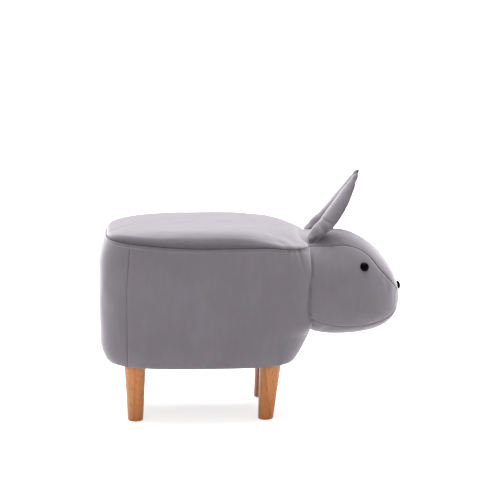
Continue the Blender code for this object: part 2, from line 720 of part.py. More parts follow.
def make_head(velvet, filling, plastic, washer_plastic, body_cutter, ear_pockets):
    inset = CLOTH + GAP
    rings = [head_ring(step / HEAD_STATIONS, inset) for step in range(HEAD_STATIONS)]
    tip = Vector((MUZZLE_X - inset, 0.0, MUZZLE_HEIGHT))
    stuffing = loft("head_filling", rings, filling, last_point=tip)
    cut(stuffing, body_cutter)

    left_side, crown, right_side, _ = [head_panel(*panel, velvet, body_cutter)
                                       for panel in head_panels()]
    for pocket in ear_pockets:
        cut(stuffing, pocket)
        cut(crown, pocket)
    for name, side, panel in (("eye_left", 1.0, left_side), ("eye_right", -1.0, right_side)):
        place, outward = surface_frame(EYE_X, EYE_HEIGHT, side)
        hole, pocket = make_button(name, place, outward, EYE_RADIUS, EYE_DOME, plastic,
                                   washer_plastic)
        cut(panel, hole)
        cut(stuffing, pocket)
    place, outward = nose_frame()
    hole, pocket = make_button("nose", place, outward, NOSE_RADIUS, NOSE_DOME, plastic,
                               washer_plastic)
    cut(crown, hole)
    cut(stuffing, pocket)


# Ears

def ear_root(side):
    """Middle of an ear's round root, which turns in a pocket of the head's top."""
    across = EAR_SPACING / 2.0
    width, above, _ = head_section(EAR_ROOT_X)
    level = (1.0 - (across / width) ** HEAD_SECTION_EXPONENT) ** (1.0 / HEAD_SECTION_EXPONENT)
    return Vector((EAR_ROOT_X, side * across, MUZZLE_HEIGHT + above * level + EAR_ROOT_RISE))


def ear_half_width(share):
    if share < EAR_WIDEST_SHARE:
        grow = ease(share / EAR_WIDEST_SHARE)
        return EAR_ROOT_HALF_WIDTH + (EAR_HALF_WIDTH - EAR_ROOT_HALF_WIDTH) * grow
    close = (share - EAR_WIDEST_SHARE) / (1.0 - EAR_WIDEST_SHARE)
    shrink = 1.0 - close ** EAR_TIP_EXPONENT
    return EAR_TIP_HALF_WIDTH + (EAR_HALF_WIDTH - EAR_TIP_HALF_WIDTH) * shrink


def ear_point(root, lean, length_share, width_share, face_offset, side_offset_share):
    """Point of the ear. A face offset is measured square to the leaf, forward being positive."""
    axis = Vector((math.cos(lean), 0.0, math.sin(lean)))
    forward = Vector((math.sin(lean), 0.0, -math.cos(lean)))
    half = ear_half_width(length_share)
    cup = ease((length_share - EAR_FLAT_ROOT_SHARE / 2.0) / EAR_FLAT_ROOT_SHARE)
    fold = EAR_TROUGH * cup * (half / EAR_HALF_WIDTH)
    slope = 2.0 * fold * width_share / half
    out = Vector((0.0, -slope, 0.0)) + forward
    out.normalize()
    middle = (root + axis * (EAR_LENGTH * length_share)
              + forward * (fold * (width_share * width_share - 0.5))
              + Vector((0.0, half * width_share, 0.0)))
    thick = ear_half_thickness(length_share, width_share)
    return middle + out * (side_offset_share * thick + face_offset)


def ear_half_thickness(length_share, width_share):
    """Half the wadding's thickness, round at the root and thin at the rim and the tip."""
    body = EAR_PADDING / 2.0 * (1.0 - EAR_THINNING_SHARE * length_share)
    root_share = min(1.0, length_share * EAR_LENGTH / EAR_ROOT_RADIUS)
    root_round = EAR_ROOT_RADIUS * math.sqrt(max(0.0, 1.0 - (1.0 - root_share) ** 2))
    blend = ease(length_share / EAR_FLAT_ROOT_SHARE)
    thick = root_round * (1.0 - blend) + body * blend
    edge = math.sqrt(max(0.0, 1.0 - abs(width_share) ** EAR_EDGE_EXPONENT))
    return max(thick * edge, GAP)


def make_ear(label, side, velvet, wadding):
    lean = EAR_LEAN - (LEFT_EAR_EXTRA_LEAN if side > 0.0 else 0.0)
    axis_point = ear_root(side)
    root = axis_point - Vector((math.cos(lean), 0.0, math.sin(lean))) * EAR_ROOT_RADIUS
    half_gap = GAP / 2.0

    def surface(direction, offset):
        def point(width_share, length_share):
            return ear_point(root, lean, length_share, width_share, direction * offset, direction)
        return point
    wad = slab("ear_wadding_" + label, surface(1.0, -half_gap), surface(-1.0, -half_gap),
               EAR_COLUMN_SHARES, EAR_STATION_SHARES, wadding)
    pieces = [wad]
    for face, direction in (("front", 1.0), ("back", -1.0)):
        pieces.append(slab("ear_" + face + "_panel_" + label, surface(direction, half_gap),
                           surface(direction, half_gap + EAR_CLOTH), EAR_COLUMN_SHARES,
                           EAR_STATION_SHARES, velvet))
    hinge = bpy.data.objects.new("ear_hinge_" + label, None)
    hinge.location = axis_point
    bpy.context.collection.objects.link(hinge)
    for piece in pieces:
        piece.data.transform(Matrix.Translation(-axis_point))
        piece.parent = hinge
    return hinge


def make_ear_pocket(label, side, material):
    """Round-bottomed slit in the head's top, in which an ear's root turns."""
    reach = EAR_ROOT_RADIUS + EAR_CLOTH + EAR_POCKET_SLACK
    half_width = EAR_ROOT_HALF_WIDTH + EAR_CLOTH + 2.0 * GAP
    start = ear_root(side) - Vector((0.0, half_width, 0.0))
    profile = [(reach, 0.0), (reach, 2.0 * half_width)]
    return make_cutter(turned("ear_pocket_" + label, profile, material, start, AROUND_BUTTON,
                              Vector((0.0, 1.0, 0.0))))


def main():
    clear_scene()
    velvet = make_material("grey_velvet", (0.215, 0.200, 0.220), 0.85)
    foam = make_material("seat_foam", (0.85, 0.82, 0.70), 0.9)
    wadding = make_material("fibre_filling", (0.90, 0.90, 0.88), 0.95)
    pine = make_material("pine", (0.72, 0.52, 0.31), 0.6)
    plywood = make_material("plywood", (0.66, 0.49, 0.31), 0.65)
    hardboard = make_material("hardboard", (0.34, 0.22, 0.13), 0.7)
    wood = make_material("oiled_wood", (0.51, 0.21, 0.08), 0.45)
    lining = make_material("black_lining", (0.02, 0.02, 0.02), 0.9)
    steel = make_material("zinc_steel", (0.60, 0.60, 0.62), 0.35, 1.0)
    plastic = make_material("black_plastic", (0.004, 0.004, 0.005), 0.15)
    washer_plastic = make_material("clear_washer_plastic", (0.75, 0.75, 0.75), 0.4)
    CUTTERS["material"] = steel

    make_seat(velvet, foam)
    make_cover(velvet, lining)
    make_frame(pine, plywood, hardboard, foam, steel)
    make_legs(wood, steel)
    body_cutter = make_body_cutter("body_form", NECK_CLEARANCE, steel)
    pockets = [make_ear_pocket(label, side, steel) for label, side in (("left", 1.0), ("right", -1.0))]
    make_head(velvet, wadding, plastic, washer_plastic, body_cutter, pockets)
    for label, side in (("left", 1.0), ("right", -1.0)):
        make_ear(label, side, velvet, wadding)


main()
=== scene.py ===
import math

import bmesh
import bpy
from mathutils import Matrix, Vector, noise
from mathutils.bvhtree import BVHTree


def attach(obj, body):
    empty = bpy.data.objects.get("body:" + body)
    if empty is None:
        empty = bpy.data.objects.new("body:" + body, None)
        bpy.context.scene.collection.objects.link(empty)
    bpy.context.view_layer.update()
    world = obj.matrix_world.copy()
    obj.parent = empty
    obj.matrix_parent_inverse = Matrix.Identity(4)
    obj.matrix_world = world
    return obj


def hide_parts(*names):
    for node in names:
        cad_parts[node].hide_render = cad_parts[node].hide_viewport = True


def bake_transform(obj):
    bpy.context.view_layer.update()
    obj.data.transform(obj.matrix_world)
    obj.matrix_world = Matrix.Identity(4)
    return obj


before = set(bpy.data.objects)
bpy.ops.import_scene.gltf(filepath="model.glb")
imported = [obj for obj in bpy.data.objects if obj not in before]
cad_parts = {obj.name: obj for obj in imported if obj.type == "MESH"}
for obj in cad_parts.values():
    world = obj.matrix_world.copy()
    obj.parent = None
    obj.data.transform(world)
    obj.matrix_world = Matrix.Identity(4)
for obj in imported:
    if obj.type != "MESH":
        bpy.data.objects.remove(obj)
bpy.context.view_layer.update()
mm = 0.001
print("frame loaded")


# Camera first: long lens, a little above the seat and a little towards the rump
camera = {
    "target": Vector((0.0, 0.0, 0.323)),
    "distance": 4.97,
    "pitch": 11.83,
    "yaw": 2.75,
    "lens": 180.0,
}


def placeCamera():
    pitch, yaw = math.radians(camera["pitch"]), math.radians(camera["yaw"])
    view = Vector((math.sin(yaw) * math.cos(pitch), math.cos(yaw) * math.cos(pitch), -math.sin(pitch)))
    data = bpy.data.cameras.new("photoView")
    data.lens = camera["lens"]
    data.clip_end = 100.0
    holder = bpy.data.objects.new("photoView", data)
    holder.location = camera["target"] - view * camera["distance"]
    holder.rotation_euler = view.to_track_quat("-Z", "Y").to_euler()
    bpy.context.scene.collection.objects.link(holder)
    bpy.context.scene.camera = holder


placeCamera()


# Colours and nodes

def shade(hexText):
    parts = [int(hexText[place:place + 2], 16) / 255.0 for place in (1, 3, 5)]
    return [part / 12.92 if part <= 0.04045 else ((part + 0.055) / 1.055) ** 2.4 for part in parts] + [1.0]


def addNode(tree, kind, values=None, links=None, **settings):
    node = tree.nodes.new(kind)
    for key, value in settings.items():
        setattr(node, key, value)
    for key, value in (values or {}).items():
        node.inputs[key].default_value = value
    for key, (source, output) in (links or {}).items():
        tree.links.new(source.outputs[output], node.inputs[key])
    return node


def startMaterial(name, **values):
    made = bpy.data.materials.new(name)
    made.use_nodes = True
    tree = made.node_tree
    shader = tree.nodes["Principled BSDF"]
    for key, value in values.items():
        shader.inputs[key.replace("_", " ")].default_value = value
    return made, tree, shader


def addRamp(tree, source, output, stops):
    ramp = addNode(tree, "ShaderNodeValToRGB", links={"Fac": (source, output)})
    elements = ramp.color_ramp.elements
    while len(elements) < len(stops):
        elements.new(0.5)
    for element, (place, colour) in zip(elements, stops):
        element.position, element.color = place, colour
    return ramp


def bumpFrom(tree, source, output, distance, strength, after=None):
    links = {"Height": (source, output)}
    if after:
        links["Normal"] = (after, "Normal")
    return addNode(tree, "ShaderNodeBump", {"Distance": distance, "Strength": strength}, links)


# Polyester velvet, knitted back with a short brushed pile: dull face on, pale where the pile is
# seen edgeways, cloudy where a hand has turned the pile
velvetLook = {
    "dark": "#726d73", "light": "#767177", "dustier": "#79747b",
    "cloud": 75 * mm, "streak": 9 * mm, "pile": 0.9 * mm,
    "sheenWeight": 0.84, "sheenRoughness": 0.42, "sheenTint": "#f2f0f3",
}


def makeVelvet(name, look):
    made, tree, shader = startMaterial(name, Roughness=0.92, IOR=1.45, Sheen_Weight=look["sheenWeight"],
                                       Sheen_Roughness=look["sheenRoughness"])
    shader.inputs["Sheen Tint"].default_value = shade(look["sheenTint"])
    shader.inputs["Specular IOR Level"].default_value = 0.18
    place = addNode(tree, "ShaderNodeTexCoord")
    cloud = addNode(tree, "ShaderNodeTexNoise", {"Scale": 1 / look["cloud"], "Detail": 3.0, "Roughness": 0.5,
                                                "Distortion": 0.6}, {"Vector": (place, "Object")})
    brushed = addNode(tree, "ShaderNodeMapping", {"Scale": (1.0, 1.0, 0.22)}, {"Vector": (place, "Object")})
    streak = addNode(tree, "ShaderNodeTexNoise", {"Scale": 1 / look["streak"], "Detail": 2.0, "Roughness": 0.6},
                     {"Vector": (brushed, "Vector")})
    pile = addNode(tree, "ShaderNodeTexNoise", {"Scale": 1 / look["pile"], "Detail": 2.0, "Roughness": 0.7},
                   {"Vector": (place, "Object")})
    clouded = addRamp(tree, cloud, "Fac", [(0.28, shade(look["dark"])), (0.60, shade(look["light"])),
                                           (0.80, shade(look["dustier"]))])
    streaked = addRamp(tree, streak, "Fac", [(0.3, shade("#8e8e8e")), (0.7, shade("#ffffff"))])
    first = addNode(tree, "ShaderNodeMix", {"Factor": 0.07}, {6: (clouded, "Color"), 7: (streaked, "Color")},
                    data_type="RGBA", blend_type="MULTIPLY")
    speck = addRamp(tree, pile, "Fac", [(0.25, shade("#8a8a8a")), (0.75, shade("#ffffff"))])
    second = addNode(tree, "ShaderNodeMix", {"Factor": 0.17}, {6: (first, 2), 7: (speck, "Color")},
                     data_type="RGBA", blend_type="MULTIPLY")
    # Painted shade: the seamShade attribute mixes a dark colour into the velvet in seam grooves, creases, folds and
    # other places that lie in shade
    seam = addNode(tree, "ShaderNodeAttribute", attribute_name="seamShade")
    shadedVelvet = addNode(tree, "ShaderNodeMix", {7: shade("#2c2a2e")}, {"Factor": (seam, "Fac"), 6: (second, 2)},
                     data_type="RGBA", blend_type="MIX")
    tree.links.new(shadedVelvet.outputs[2], shader.inputs["Base Color"])
    broad = bumpFrom(tree, cloud, "Fac", 1.2 * mm, 0.2)
    lay = bumpFrom(tree, streak, "Fac", 0.4 * mm, 0.12, broad)
    fine = bumpFrom(tree, pile, "Fac", 0.35 * mm, 0.45, lay)
    tree.links.new(fine.outputs["Normal"], shader.inputs["Normal"])
    return made


velvet = makeVelvet("velvetShortPile", velvetLook)


# Polyester sewing thread: pale, slightly shiny, twisted every 0.8 mm
def makeThread():
    made, tree, shader = startMaterial("polyesterThread", Roughness=0.5, Sheen_Weight=0.3)
    place = addNode(tree, "ShaderNodeTexCoord")
    turned = addNode(tree, "ShaderNodeMapping", {"Rotation": (0.6, 0.6, 0.0)}, {"Vector": (place, "Object")})
    twist = addNode(tree, "ShaderNodeTexWave", {"Scale": 1 / (0.8 * mm) / 20.0, "Distortion": 0.5},
                    {"Vector": (turned, "Vector")})
    ply = addRamp(tree, twist, "Fac", [(0.2, shade("#8f8b94")), (0.8, shade("#aaa6b0"))])
    tree.links.new(ply.outputs["Color"], shader.inputs["Base Color"])
    tree.links.new(bumpFrom(tree, twist, "Fac", 0.15 * mm, 0.5).outputs["Normal"], shader.inputs["Normal"])
    return made


thread = makeThread()


# Timber, cut from one block pattern: growth rings around an upright line beside the piece, fibres
# along the grain and short dark pores
def makeTimber(name, early, late, pore, rings, centre, roughness, coat=0.0, turn=(0.0, 0.0, 0.0)):
    made, tree, shader = startMaterial(name, Roughness=roughness, IOR=1.5, Coat_Weight=coat, Coat_Roughness=0.35)
    place = addNode(tree, "ShaderNodeTexCoord")
    laid = addNode(tree, "ShaderNodeMapping", {"Location": centre, "Rotation": turn},
                   {"Vector": (place, "Object")})
    slow = addNode(tree, "ShaderNodeMapping", {"Scale": (1.0, 1.0, 0.09)}, {"Vector": (laid, "Vector")})
    ring = addNode(tree, "ShaderNodeTexWave", {"Scale": 1 / rings / 20.0, "Distortion": 3.2, "Detail": 2.5,
                                              "Detail Scale": 1.4, "Detail Roughness": 0.6},
                   {"Vector": (slow, "Vector")}, wave_type="RINGS", rings_direction="Z", wave_profile="SAW")
    fibre = addNode(tree, "ShaderNodeTexNoise", {"Scale": 1 / (1.1 * mm), "Detail": 3.0, "Roughness": 0.65},
                    {"Vector": (slow, "Vector")})
    long = addNode(tree, "ShaderNodeMapping", {"Scale": (1.0, 1.0, 0.06)}, {"Vector": (laid, "Vector")})
    pores = addNode(tree, "ShaderNodeTexNoise", {"Scale": 1 / (0.75 * mm), "Detail": 1.0}, {"Vector": (long, "Vector")})
    body = addRamp(tree, ring, "Fac", [(0.0, shade(early)), (0.75, shade(early)), (1.0, shade(late))])
    grain = addRamp(tree, fibre, "Fac", [(0.3, shade("#9c9c9c")), (0.65, shade("#ffffff"))])
    fibred = addNode(tree, "ShaderNodeMix", {"Factor": 0.42}, {6: (body, "Color"), 7: (grain, "Color")},
                     data_type="RGBA", blend_type="MULTIPLY")
    dots = addRamp(tree, pores, "Fac", [(0.60, shade("#000000")), (0.68, shade("#ffffff"))])
    pored = addNode(tree, "ShaderNodeMix", {7: shade(pore)}, {"Factor": (dots, "Color"), 6: (fibred, 2)},
                    data_type="RGBA", blend_type="MIX")
    tree.links.new(pored.outputs[2], shader.inputs["Base Color"])
    uneven = addNode(tree, "ShaderNodeMapRange", {"To Min": roughness - 0.06, "To Max": roughness + 0.10},
                     {"Value": (fibre, "Fac")})
    tree.links.new(uneven.outputs["Result"], shader.inputs["Roughness"])
    first = bumpFrom(tree, fibre, "Fac", 0.12 * mm, 0.4)
    tree.links.new(bumpFrom(tree, dots, "Color", -0.12 * mm, 0.5, first).outputs["Normal"], shader.inputs["Normal"])
    return made


def makePlastic(name, colour, later, roughness, level):
    made, tree, shader = startMaterial(name, Roughness=roughness, IOR=1.46)
    shader.inputs["Specular IOR Level"].default_value = level
    place = addNode(tree, "ShaderNodeTexCoord")
    haze = addNode(tree, "ShaderNodeTexNoise", {"Scale": 1 / (6 * mm), "Detail": 3.0}, {"Vector": (place, "Object")})
    tone = addRamp(tree, haze, "Fac", [(0.35, shade(colour)), (0.9, shade(later))])
    tree.links.new(tone.outputs["Color"], shader.inputs["Base Color"])
    rough = addNode(tree, "ShaderNodeMapRange", {"To Min": roughness, "To Max": roughness + 0.08},
                    {"Value": (haze, "Fac")})
    tree.links.new(rough.outputs["Result"], shader.inputs["Roughness"])
    return made


def makeZinc():
    made, tree, shader = startMaterial("zincPlatedSteel", Roughness=0.38, Metallic=1.0)
    place = addNode(tree, "ShaderNodeTexCoord")
    bloom = addNode(tree, "ShaderNodeTexVoronoi", {"Scale": 1 / (2.5 * mm)}, {"Vector": (place, "Object")})
    tone = addRamp(tree, bloom, "Distance", [(0.1, shade("#b9bcc0")), (0.8, shade("#8f9398"))])
    tree.links.new(tone.outputs["Color"], shader.inputs["Base Color"])
    tree.links.new(bumpFrom(tree, bloom, "Distance", 0.05 * mm, 0.3).outputs["Normal"], shader.inputs["Normal"])
    return made


# Spunbond polypropylene lining: dull black felt pressed in a pattern of small points, 1 mm apart in
# the real sheet and drawn 2.6 mm apart so that it shows
def makeLining():
    made, tree, shader = startMaterial("spunbondLining", Roughness=0.85, Sheen_Weight=0.15)
    place = addNode(tree, "ShaderNodeTexCoord")
    cells = addNode(tree, "ShaderNodeTexVoronoi", {"Scale": 1 / (2.6 * mm), "Randomness": 0.12},
                    {"Vector": (place, "Object")})
    hair = addNode(tree, "ShaderNodeTexNoise", {"Scale": 1 / (1.5 * mm), "Detail": 4.0, "Distortion": 1.5},
                   {"Vector": (place, "Object")})
    tone = addRamp(tree, hair, "Fac", [(0.3, shade("#151516")), (0.8, shade("#2b2b2d"))])
    tree.links.new(tone.outputs["Color"], shader.inputs["Base Color"])
    dots = addRamp(tree, cells, "Distance", [(0.12, shade("#000000")), (0.3, shade("#ffffff"))])
    first = bumpFrom(tree, dots, "Color", 0.2 * mm, 0.6)
    tree.links.new(bumpFrom(tree, hair, "Fac", 0.15 * mm, 0.5, first).outputs["Normal"], shader.inputs["Normal"])
    return made


legWood = makeTimber("oiledBeech", "#c37730", "#b0631e", "#80461c", 4.5 * mm, (0.021, 0.034, 0.0), 0.42, 0.18)
pine = makeTimber("sawnPine", "#dcb682", "#b98a52", "#a87a48", 5.0 * mm, (0.030, 0.020, 0.0), 0.62)
plywood = makeTimber("poplarPlywood", "#cfae80", "#b08d5e", "#8a6a44", 7.0 * mm, (0.02, 0.0, 0.03), 0.66,
                     turn=(0.0, math.radians(90.0), 0.0))
hardboard = makeTimber("pressedHardboard", "#6d4f35", "#5e432c", "#4a3422", 9.0 * mm, (0.0, 0.0, 0.0), 0.7)
buttonBlack = makePlastic("mouldedBlackAcrylic", "#010101", "#030303", 0.28, 0.03)
washerClear = makePlastic("naturalNylon", "#dcdedd", "#c9cbcc", 0.4, 0.5)
zinc = makeZinc()
lining = makeLining()
print("materials made")


# Shape of the body, as the frame has it, in metres
body = {
    "rearX": -0.300, "frontX": 0.138, "middleX": -0.085, "width": 0.280,
    "hem": 0.1125, "seam": 0.353, "seamRearRise": 0.010,
    "seamFrontDrop": 0.0075, "seamDropX": 0.020, "seamDropRun": 0.080,
    "crown": 0.031, "crownFrontX": -0.020, "crownFrontDrop": 0.0085,
    "crownRearX": -0.130, "crownRearDrop": 0.0105,
    "rearTopTuck": 0.0135, "rearHemTuck": 0.013, "sideTopTuck": 0.006, "sideHemTuck": 0.009,
    "frontTopTuck": 0.022, "frontHemTuck": 0.049, "rearSeamX": -0.240,
    "rearTopPower": 3.4, "rearHemPower": 3.2, "frontTopPower": 4.2, "frontHemPower": 3.4,
    "topShare": 0.22, "hemShare": 0.17, "bellyShare": 0.64,
    "crownEdgePower": 6.0, "crownRisePower": 1.9,
}


def ease(share):
    share = min(max(share, 0.0), 1.0)
    return share * share * (3.0 - 2.0 * share)


def bell(distance, width):
    return math.exp(-(distance / width) ** 2)


def seamHeight(x):
    rise = body["seamRearRise"] * ease((body["middleX"] - x) / (body["middleX"] - body["rearX"]))
    return body["seam"] + rise - body["seamFrontDrop"] * ease((x - body["seamDropX"]) / body["seamDropRun"])


def bodyPlan(angle, share, inset=0.0, scale=1.0):
    top = max(0.0, (share - 1.0 + body["topShare"]) / body["topShare"]) ** 2
    hem = max(0.0, (body["hemShare"] - share) / body["hemShare"]) ** 2
    above = max(0.0, (share - body["bellyShare"]) / (1.0 - body["bellyShare"])) ** 2
    below = max(0.0, (body["bellyShare"] - share) / body["bellyShare"]) ** 2
    along, across = math.cos(angle), math.sin(angle)
    if along > 0.0:
        reach = body["frontX"] - body["middleX"] - body["frontTopTuck"] * above - body["frontHemTuck"] * below
        hemPower, topPower = body["frontHemPower"], body["frontTopPower"]
    else:
        reach = body["middleX"] - body["rearX"] - body["rearTopTuck"] * top - body["rearHemTuck"] * hem
        hemPower, topPower = body["rearHemPower"], body["rearTopPower"]
    side = body["width"] / 2.0 - body["sideTopTuck"] * top - body["sideHemTuck"] * hem - inset
    power = hemPower + (topPower - hemPower) * ease(share)
    radius = ((abs(along) / (reach - inset)) ** power + (abs(across) / side) ** power) ** (-1.0 / power)
    return body["middleX"] + scale * radius * along, scale * radius * across


head = {
    "middleX": 0.170, "muzzleX": 0.2968, "backX": 0.085, "width": 0.214, "neckNarrowing": 0.007,
    "neckRise": 0.0200, "muzzleZ": 0.233, "brow": 0.127, "chin": 0.072,
    "sectionPower": 2.8, "planPower": 2.2, "browPower": 1.75, "chinPower": 2.65,
    "seamShares": (0.0, 0.16, 0.33, 0.50, 0.58, 0.67, 0.82, 1.0),
    "browSeam": (54.0, 54.0, 53.5, 55.0, 52.0, 41.0, 31.0, 21.0),
    "chinSeam": (-22.0, -24.5, -33.0, -37.0, -37.0, -37.0, -37.5, -38.0),
}


# The soft cover fills the front corners out, so that the neck line stands nearly plumb
corner = {"neckX": 0.1132, "widest": 0.110, "share": 0.95, "most": 0.014, "least": -0.003, "run": 0.045}


def neckHalf(row):
    rise = body["hem"] + (body["seam"] - body["seamFrontDrop"] - body["hem"]) * row - head["muzzleZ"]
    level = min(1.0, abs(rise) / (head["brow"] if rise > 0.0 else head["chin"]))
    half = (head["width"] / 2.0 + 6.0 * mm) * (1.0 - level ** head["sectionPower"]) ** (1.0 / head["sectionPower"])
    return min(corner["widest"], max(0.070, half + 4.0 * mm))


def cornerShift(x, y, row, known={}):
    row = round(min(max(row, 0.0), 1.0), 3)
    half = neckHalf(row)
    if row not in known:
        low, high = 0.0, 1.2
        for _ in range(20):
            middle = (low + high) / 2.0
            if bodyPlan(middle, row)[1] < half:
                low = middle
            else:
                high = middle
        known[row] = (corner["neckX"] - bodyPlan(low, row)[0]) * corner["share"]
        known[row] = min(max(known[row], corner["least"]), corner["most"]) * ease((row - 0.20) / 0.09)
    return known[row] * ease((abs(y) - half) / corner["run"] + 1.0) * ease((x - 0.010) / 0.080)


# How far a point lies outside the body's wall, in plan.
def bodyClearance(point):
    share = min(max((point.z - body["hem"]) / (seamHeight(point.x) - body["hem"]), 0.0), 1.0)
    offset = Vector((point.x - cornerShift(point.x, point.y, share) - body["middleX"], point.y))
    x, y = bodyPlan(math.atan2(offset.y, offset.x), share)
    edge = Vector((x - body["middleX"], y)).length
    return offset.length - edge


def headSection(x):
    if x >= head["middleX"]:
        share = min(1.0, (x - head["middleX"]) / (head["muzzleX"] - head["middleX"]))

        def close(power):
            return (1.0 - share ** power) ** (1.0 / power)
        return (head["width"] / 2.0 * close(head["planPower"]), head["brow"] * close(head["browPower"]),
                head["chin"] * close(head["chinPower"]))
    share = (head["middleX"] - x) / (head["middleX"] - head["backX"])
    return (head["width"] / 2.0 - head["neckNarrowing"] * share * share, head["brow"],
            head["chin"] - head["neckRise"] * share * share)


# The stuffed head spreads towards the neck seam
def neckFlare(x):
    return 8.0 * mm * ease((0.158 - x) / 0.046)


# How far a point lies outside the head's section at its station.
def headClearance(point):
    width, above, below = headSection(point.x)
    width += neckFlare(point.x)
    tall = above if point.z > head["muzzleZ"] else below
    power = head["sectionPower"]
    level = ((abs(point.y) / width) ** power + (abs(point.z - head["muzzleZ"]) / tall) ** power) ** (1.0 / power)
    return (level - 1.0) * min(width, tall)


# Cloth helpers

fineSteps = [0.0, 0.8 * mm, 1.8 * mm, 3.2 * mm, 5.0 * mm, 7.0 * mm, 9.2 * mm, 12.0 * mm]


# Places from 0 to 1 along a length, close together at a sewn end.
def shares(length, step, fineStart=True, fineEnd=True):
    start = [gap for gap in fineSteps] if fineStart else [0.0]
    finish = [length - gap for gap in reversed(fineSteps)] if fineEnd else [length]
    count = max(1, round((finish[0] - start[-1]) / step))
    middle = [start[-1] + (finish[0] - start[-1]) * place / count for place in range(1, count)]
    return [place / length for place in start + middle + finish]


# A grid whose columns and rows are moved to a surface. Each point keeps its column and row.
def gridPiece(columns, rows, place, closed=False):
    builder = bmesh.new()
    bmesh.ops.create_grid(builder, x_segments=len(columns) - 1, y_segments=len(rows) - 1, size=0.5)
    columnLayer = builder.verts.layers.float.new("columnAt")
    rowLayer = builder.verts.layers.float.new("rowAt")
    for vert in builder.verts:
        column = columns[round((vert.co.x + 0.5) * (len(columns) - 1))]
        row = rows[round((vert.co.y + 0.5) * (len(rows) - 1))]
        vert[columnLayer], vert[rowLayer] = column, row
        vert.co = place(column, row)
    if closed:
        bmesh.ops.remove_doubles(builder, verts=builder.verts, dist=0.02 * mm)
    bmesh.ops.recalc_face_normals(builder, faces=builder.faces)
    return builder


def finishPiece(name, builder, material, smooth=True):
    mesh = bpy.data.meshes.new(name)
    builder.to_mesh(mesh)
    builder.free()
    if smooth:
        mesh.shade_smooth()
    mesh.materials.append(material)
    piece = bpy.data.objects.new(name, mesh)
    bpy.context.scene.collection.objects.link(piece)
    return piece


# Blows the cover up a little between its seams, as padding does, and caps how far it goes.
def settleCloth(piece, isSewn, pressure, frames, cap, growth):
    scene = bpy.context.scene
    twin = bpy.data.objects.new(piece.name + "Trial", piece.data.copy())
    scene.collection.objects.link(twin)
    columns = piece.data.attributes["columnAt"].data
    rows = piece.data.attributes["rowAt"].data
    sewn = [index for index in range(len(columns)) if isSewn(columns[index].value, rows[index].value)]
    twin.vertex_groups.new(name="sewn").add(sewn, 1.0, "REPLACE")
    cloth = twin.modifiers.new("cover", "CLOTH")
    settings = cloth.settings
    settings.quality = 6
    settings.mass = 0.3
    settings.tension_stiffness = 12.0
    settings.compression_stiffness = 12.0
    settings.shear_stiffness = 6.0
    settings.bending_stiffness = 0.6
    settings.shrink_min = -growth
    settings.use_pressure = True
    settings.uniform_pressure_force = pressure
    settings.vertex_group_mass = "sewn"
    settings.effector_weights.gravity = 0.0
    cloth.point_cache.frame_start = 1
    cloth.point_cache.frame_end = frames
    for step in range(1, frames + 1):
        scene.frame_set(step)
    shown = twin.evaluated_get(bpy.context.evaluated_depsgraph_get()).to_mesh()
    for vert, moved in zip(piece.data.vertices, shown.vertices):
        shift = moved.co - vert.co
        if shift.length > 0.0:
            vert.co += shift * (cap / (cap + shift.length))
    bpy.data.objects.remove(twin, do_unlink=True)
    scene.frame_set(1)
    print("cloth settled:", piece.name)


# Moves each point along its own normal by moveAt(point, column, row).
def sculpt(piece, moveAt):
    mesh = piece.data
    mesh.update()
    normals = [normal.vector.copy() for normal in mesh.vertex_normals]
    columns, rows = mesh.attributes["columnAt"].data, mesh.attributes["rowAt"].data
    for index, vert in enumerate(mesh.vertices):
        vert.co = vert.co + normals[index] * moveAt(vert.co, columns[index].value, rows[index].value)
    mesh.update()


def paint(piece, name, valueAt):
    mesh = piece.data
    layer = mesh.attributes.new(name, "FLOAT", "POINT")
    columns, rows = mesh.attributes["columnAt"].data, mesh.attributes["rowAt"].data
    for index, vert in enumerate(mesh.vertices):
        layer.data[index].value = valueAt(vert.co, columns[index].value, rows[index].value)


def addSubdivision(piece, levels=1):
    soft = piece.modifiers.new("rounded", "SUBSURF")
    soft.levels = soft.render_levels = levels


# How far cloth is drawn in beside a seam.
def seamDip(distance, depth=2.6 * mm, width=2.6 * mm):
    return -depth * math.exp(-abs(distance) / width)


def ripple(point, size, seed=0.0):
    return noise.noise(Vector((point.x / size + seed, point.y / size, point.z / size)))


# Walls of the body: one padded ring, sewn at the seat, at two upright seams by the rump and at the
# middle of the front

wall = {
    "step": 6.6 * mm, "levelStep": 8.0 * mm, "padding": 9.0 * mm, "cap": 1.5 * mm,
    "turnUnder": 13.0 * mm, "stitchDrop": 7.0 * mm, "inset": 0.8 * mm,
}


# Plan angle for each length around the body at half height.
def arcTable(count=1440):
    lengths, angles, last = [0.0], [0.0], bodyPlan(0.0, 0.5)
    for step in range(1, count + 1):
        angle = 2.0 * math.pi * step / count
        here = bodyPlan(angle, 0.5)
        lengths.append(lengths[-1] + math.hypot(here[0] - last[0], here[1] - last[1]))
        angles.append(angle)
        last = here
    return lengths, angles


arcLengths, arcAngles = arcTable()
girth = arcLengths[-1]


def angleAt(length):
    low, high = 0, len(arcLengths) - 1
    while high - low > 1:
        middle = (low + high) // 2
        if arcLengths[middle] <= length:
            low = middle
        else:
            high = middle
    part = (length - arcLengths[low]) / (arcLengths[high] - arcLengths[low])
    return arcAngles[low] + (arcAngles[high] - arcAngles[low]) * part


def lengthAtX(x):
    for length, angle in zip(arcLengths, arcAngles):
        if bodyPlan(angle, 0.5)[0] < x:
            return length
    return girth / 2.0


rearSeam = lengthAtX(body["rearSeamX"])
uprightSeams = [0.0, rearSeam, girth - rearSeam, girth]


def uprightGap(length):
    return min(abs(length - seam) for seam in uprightSeams)


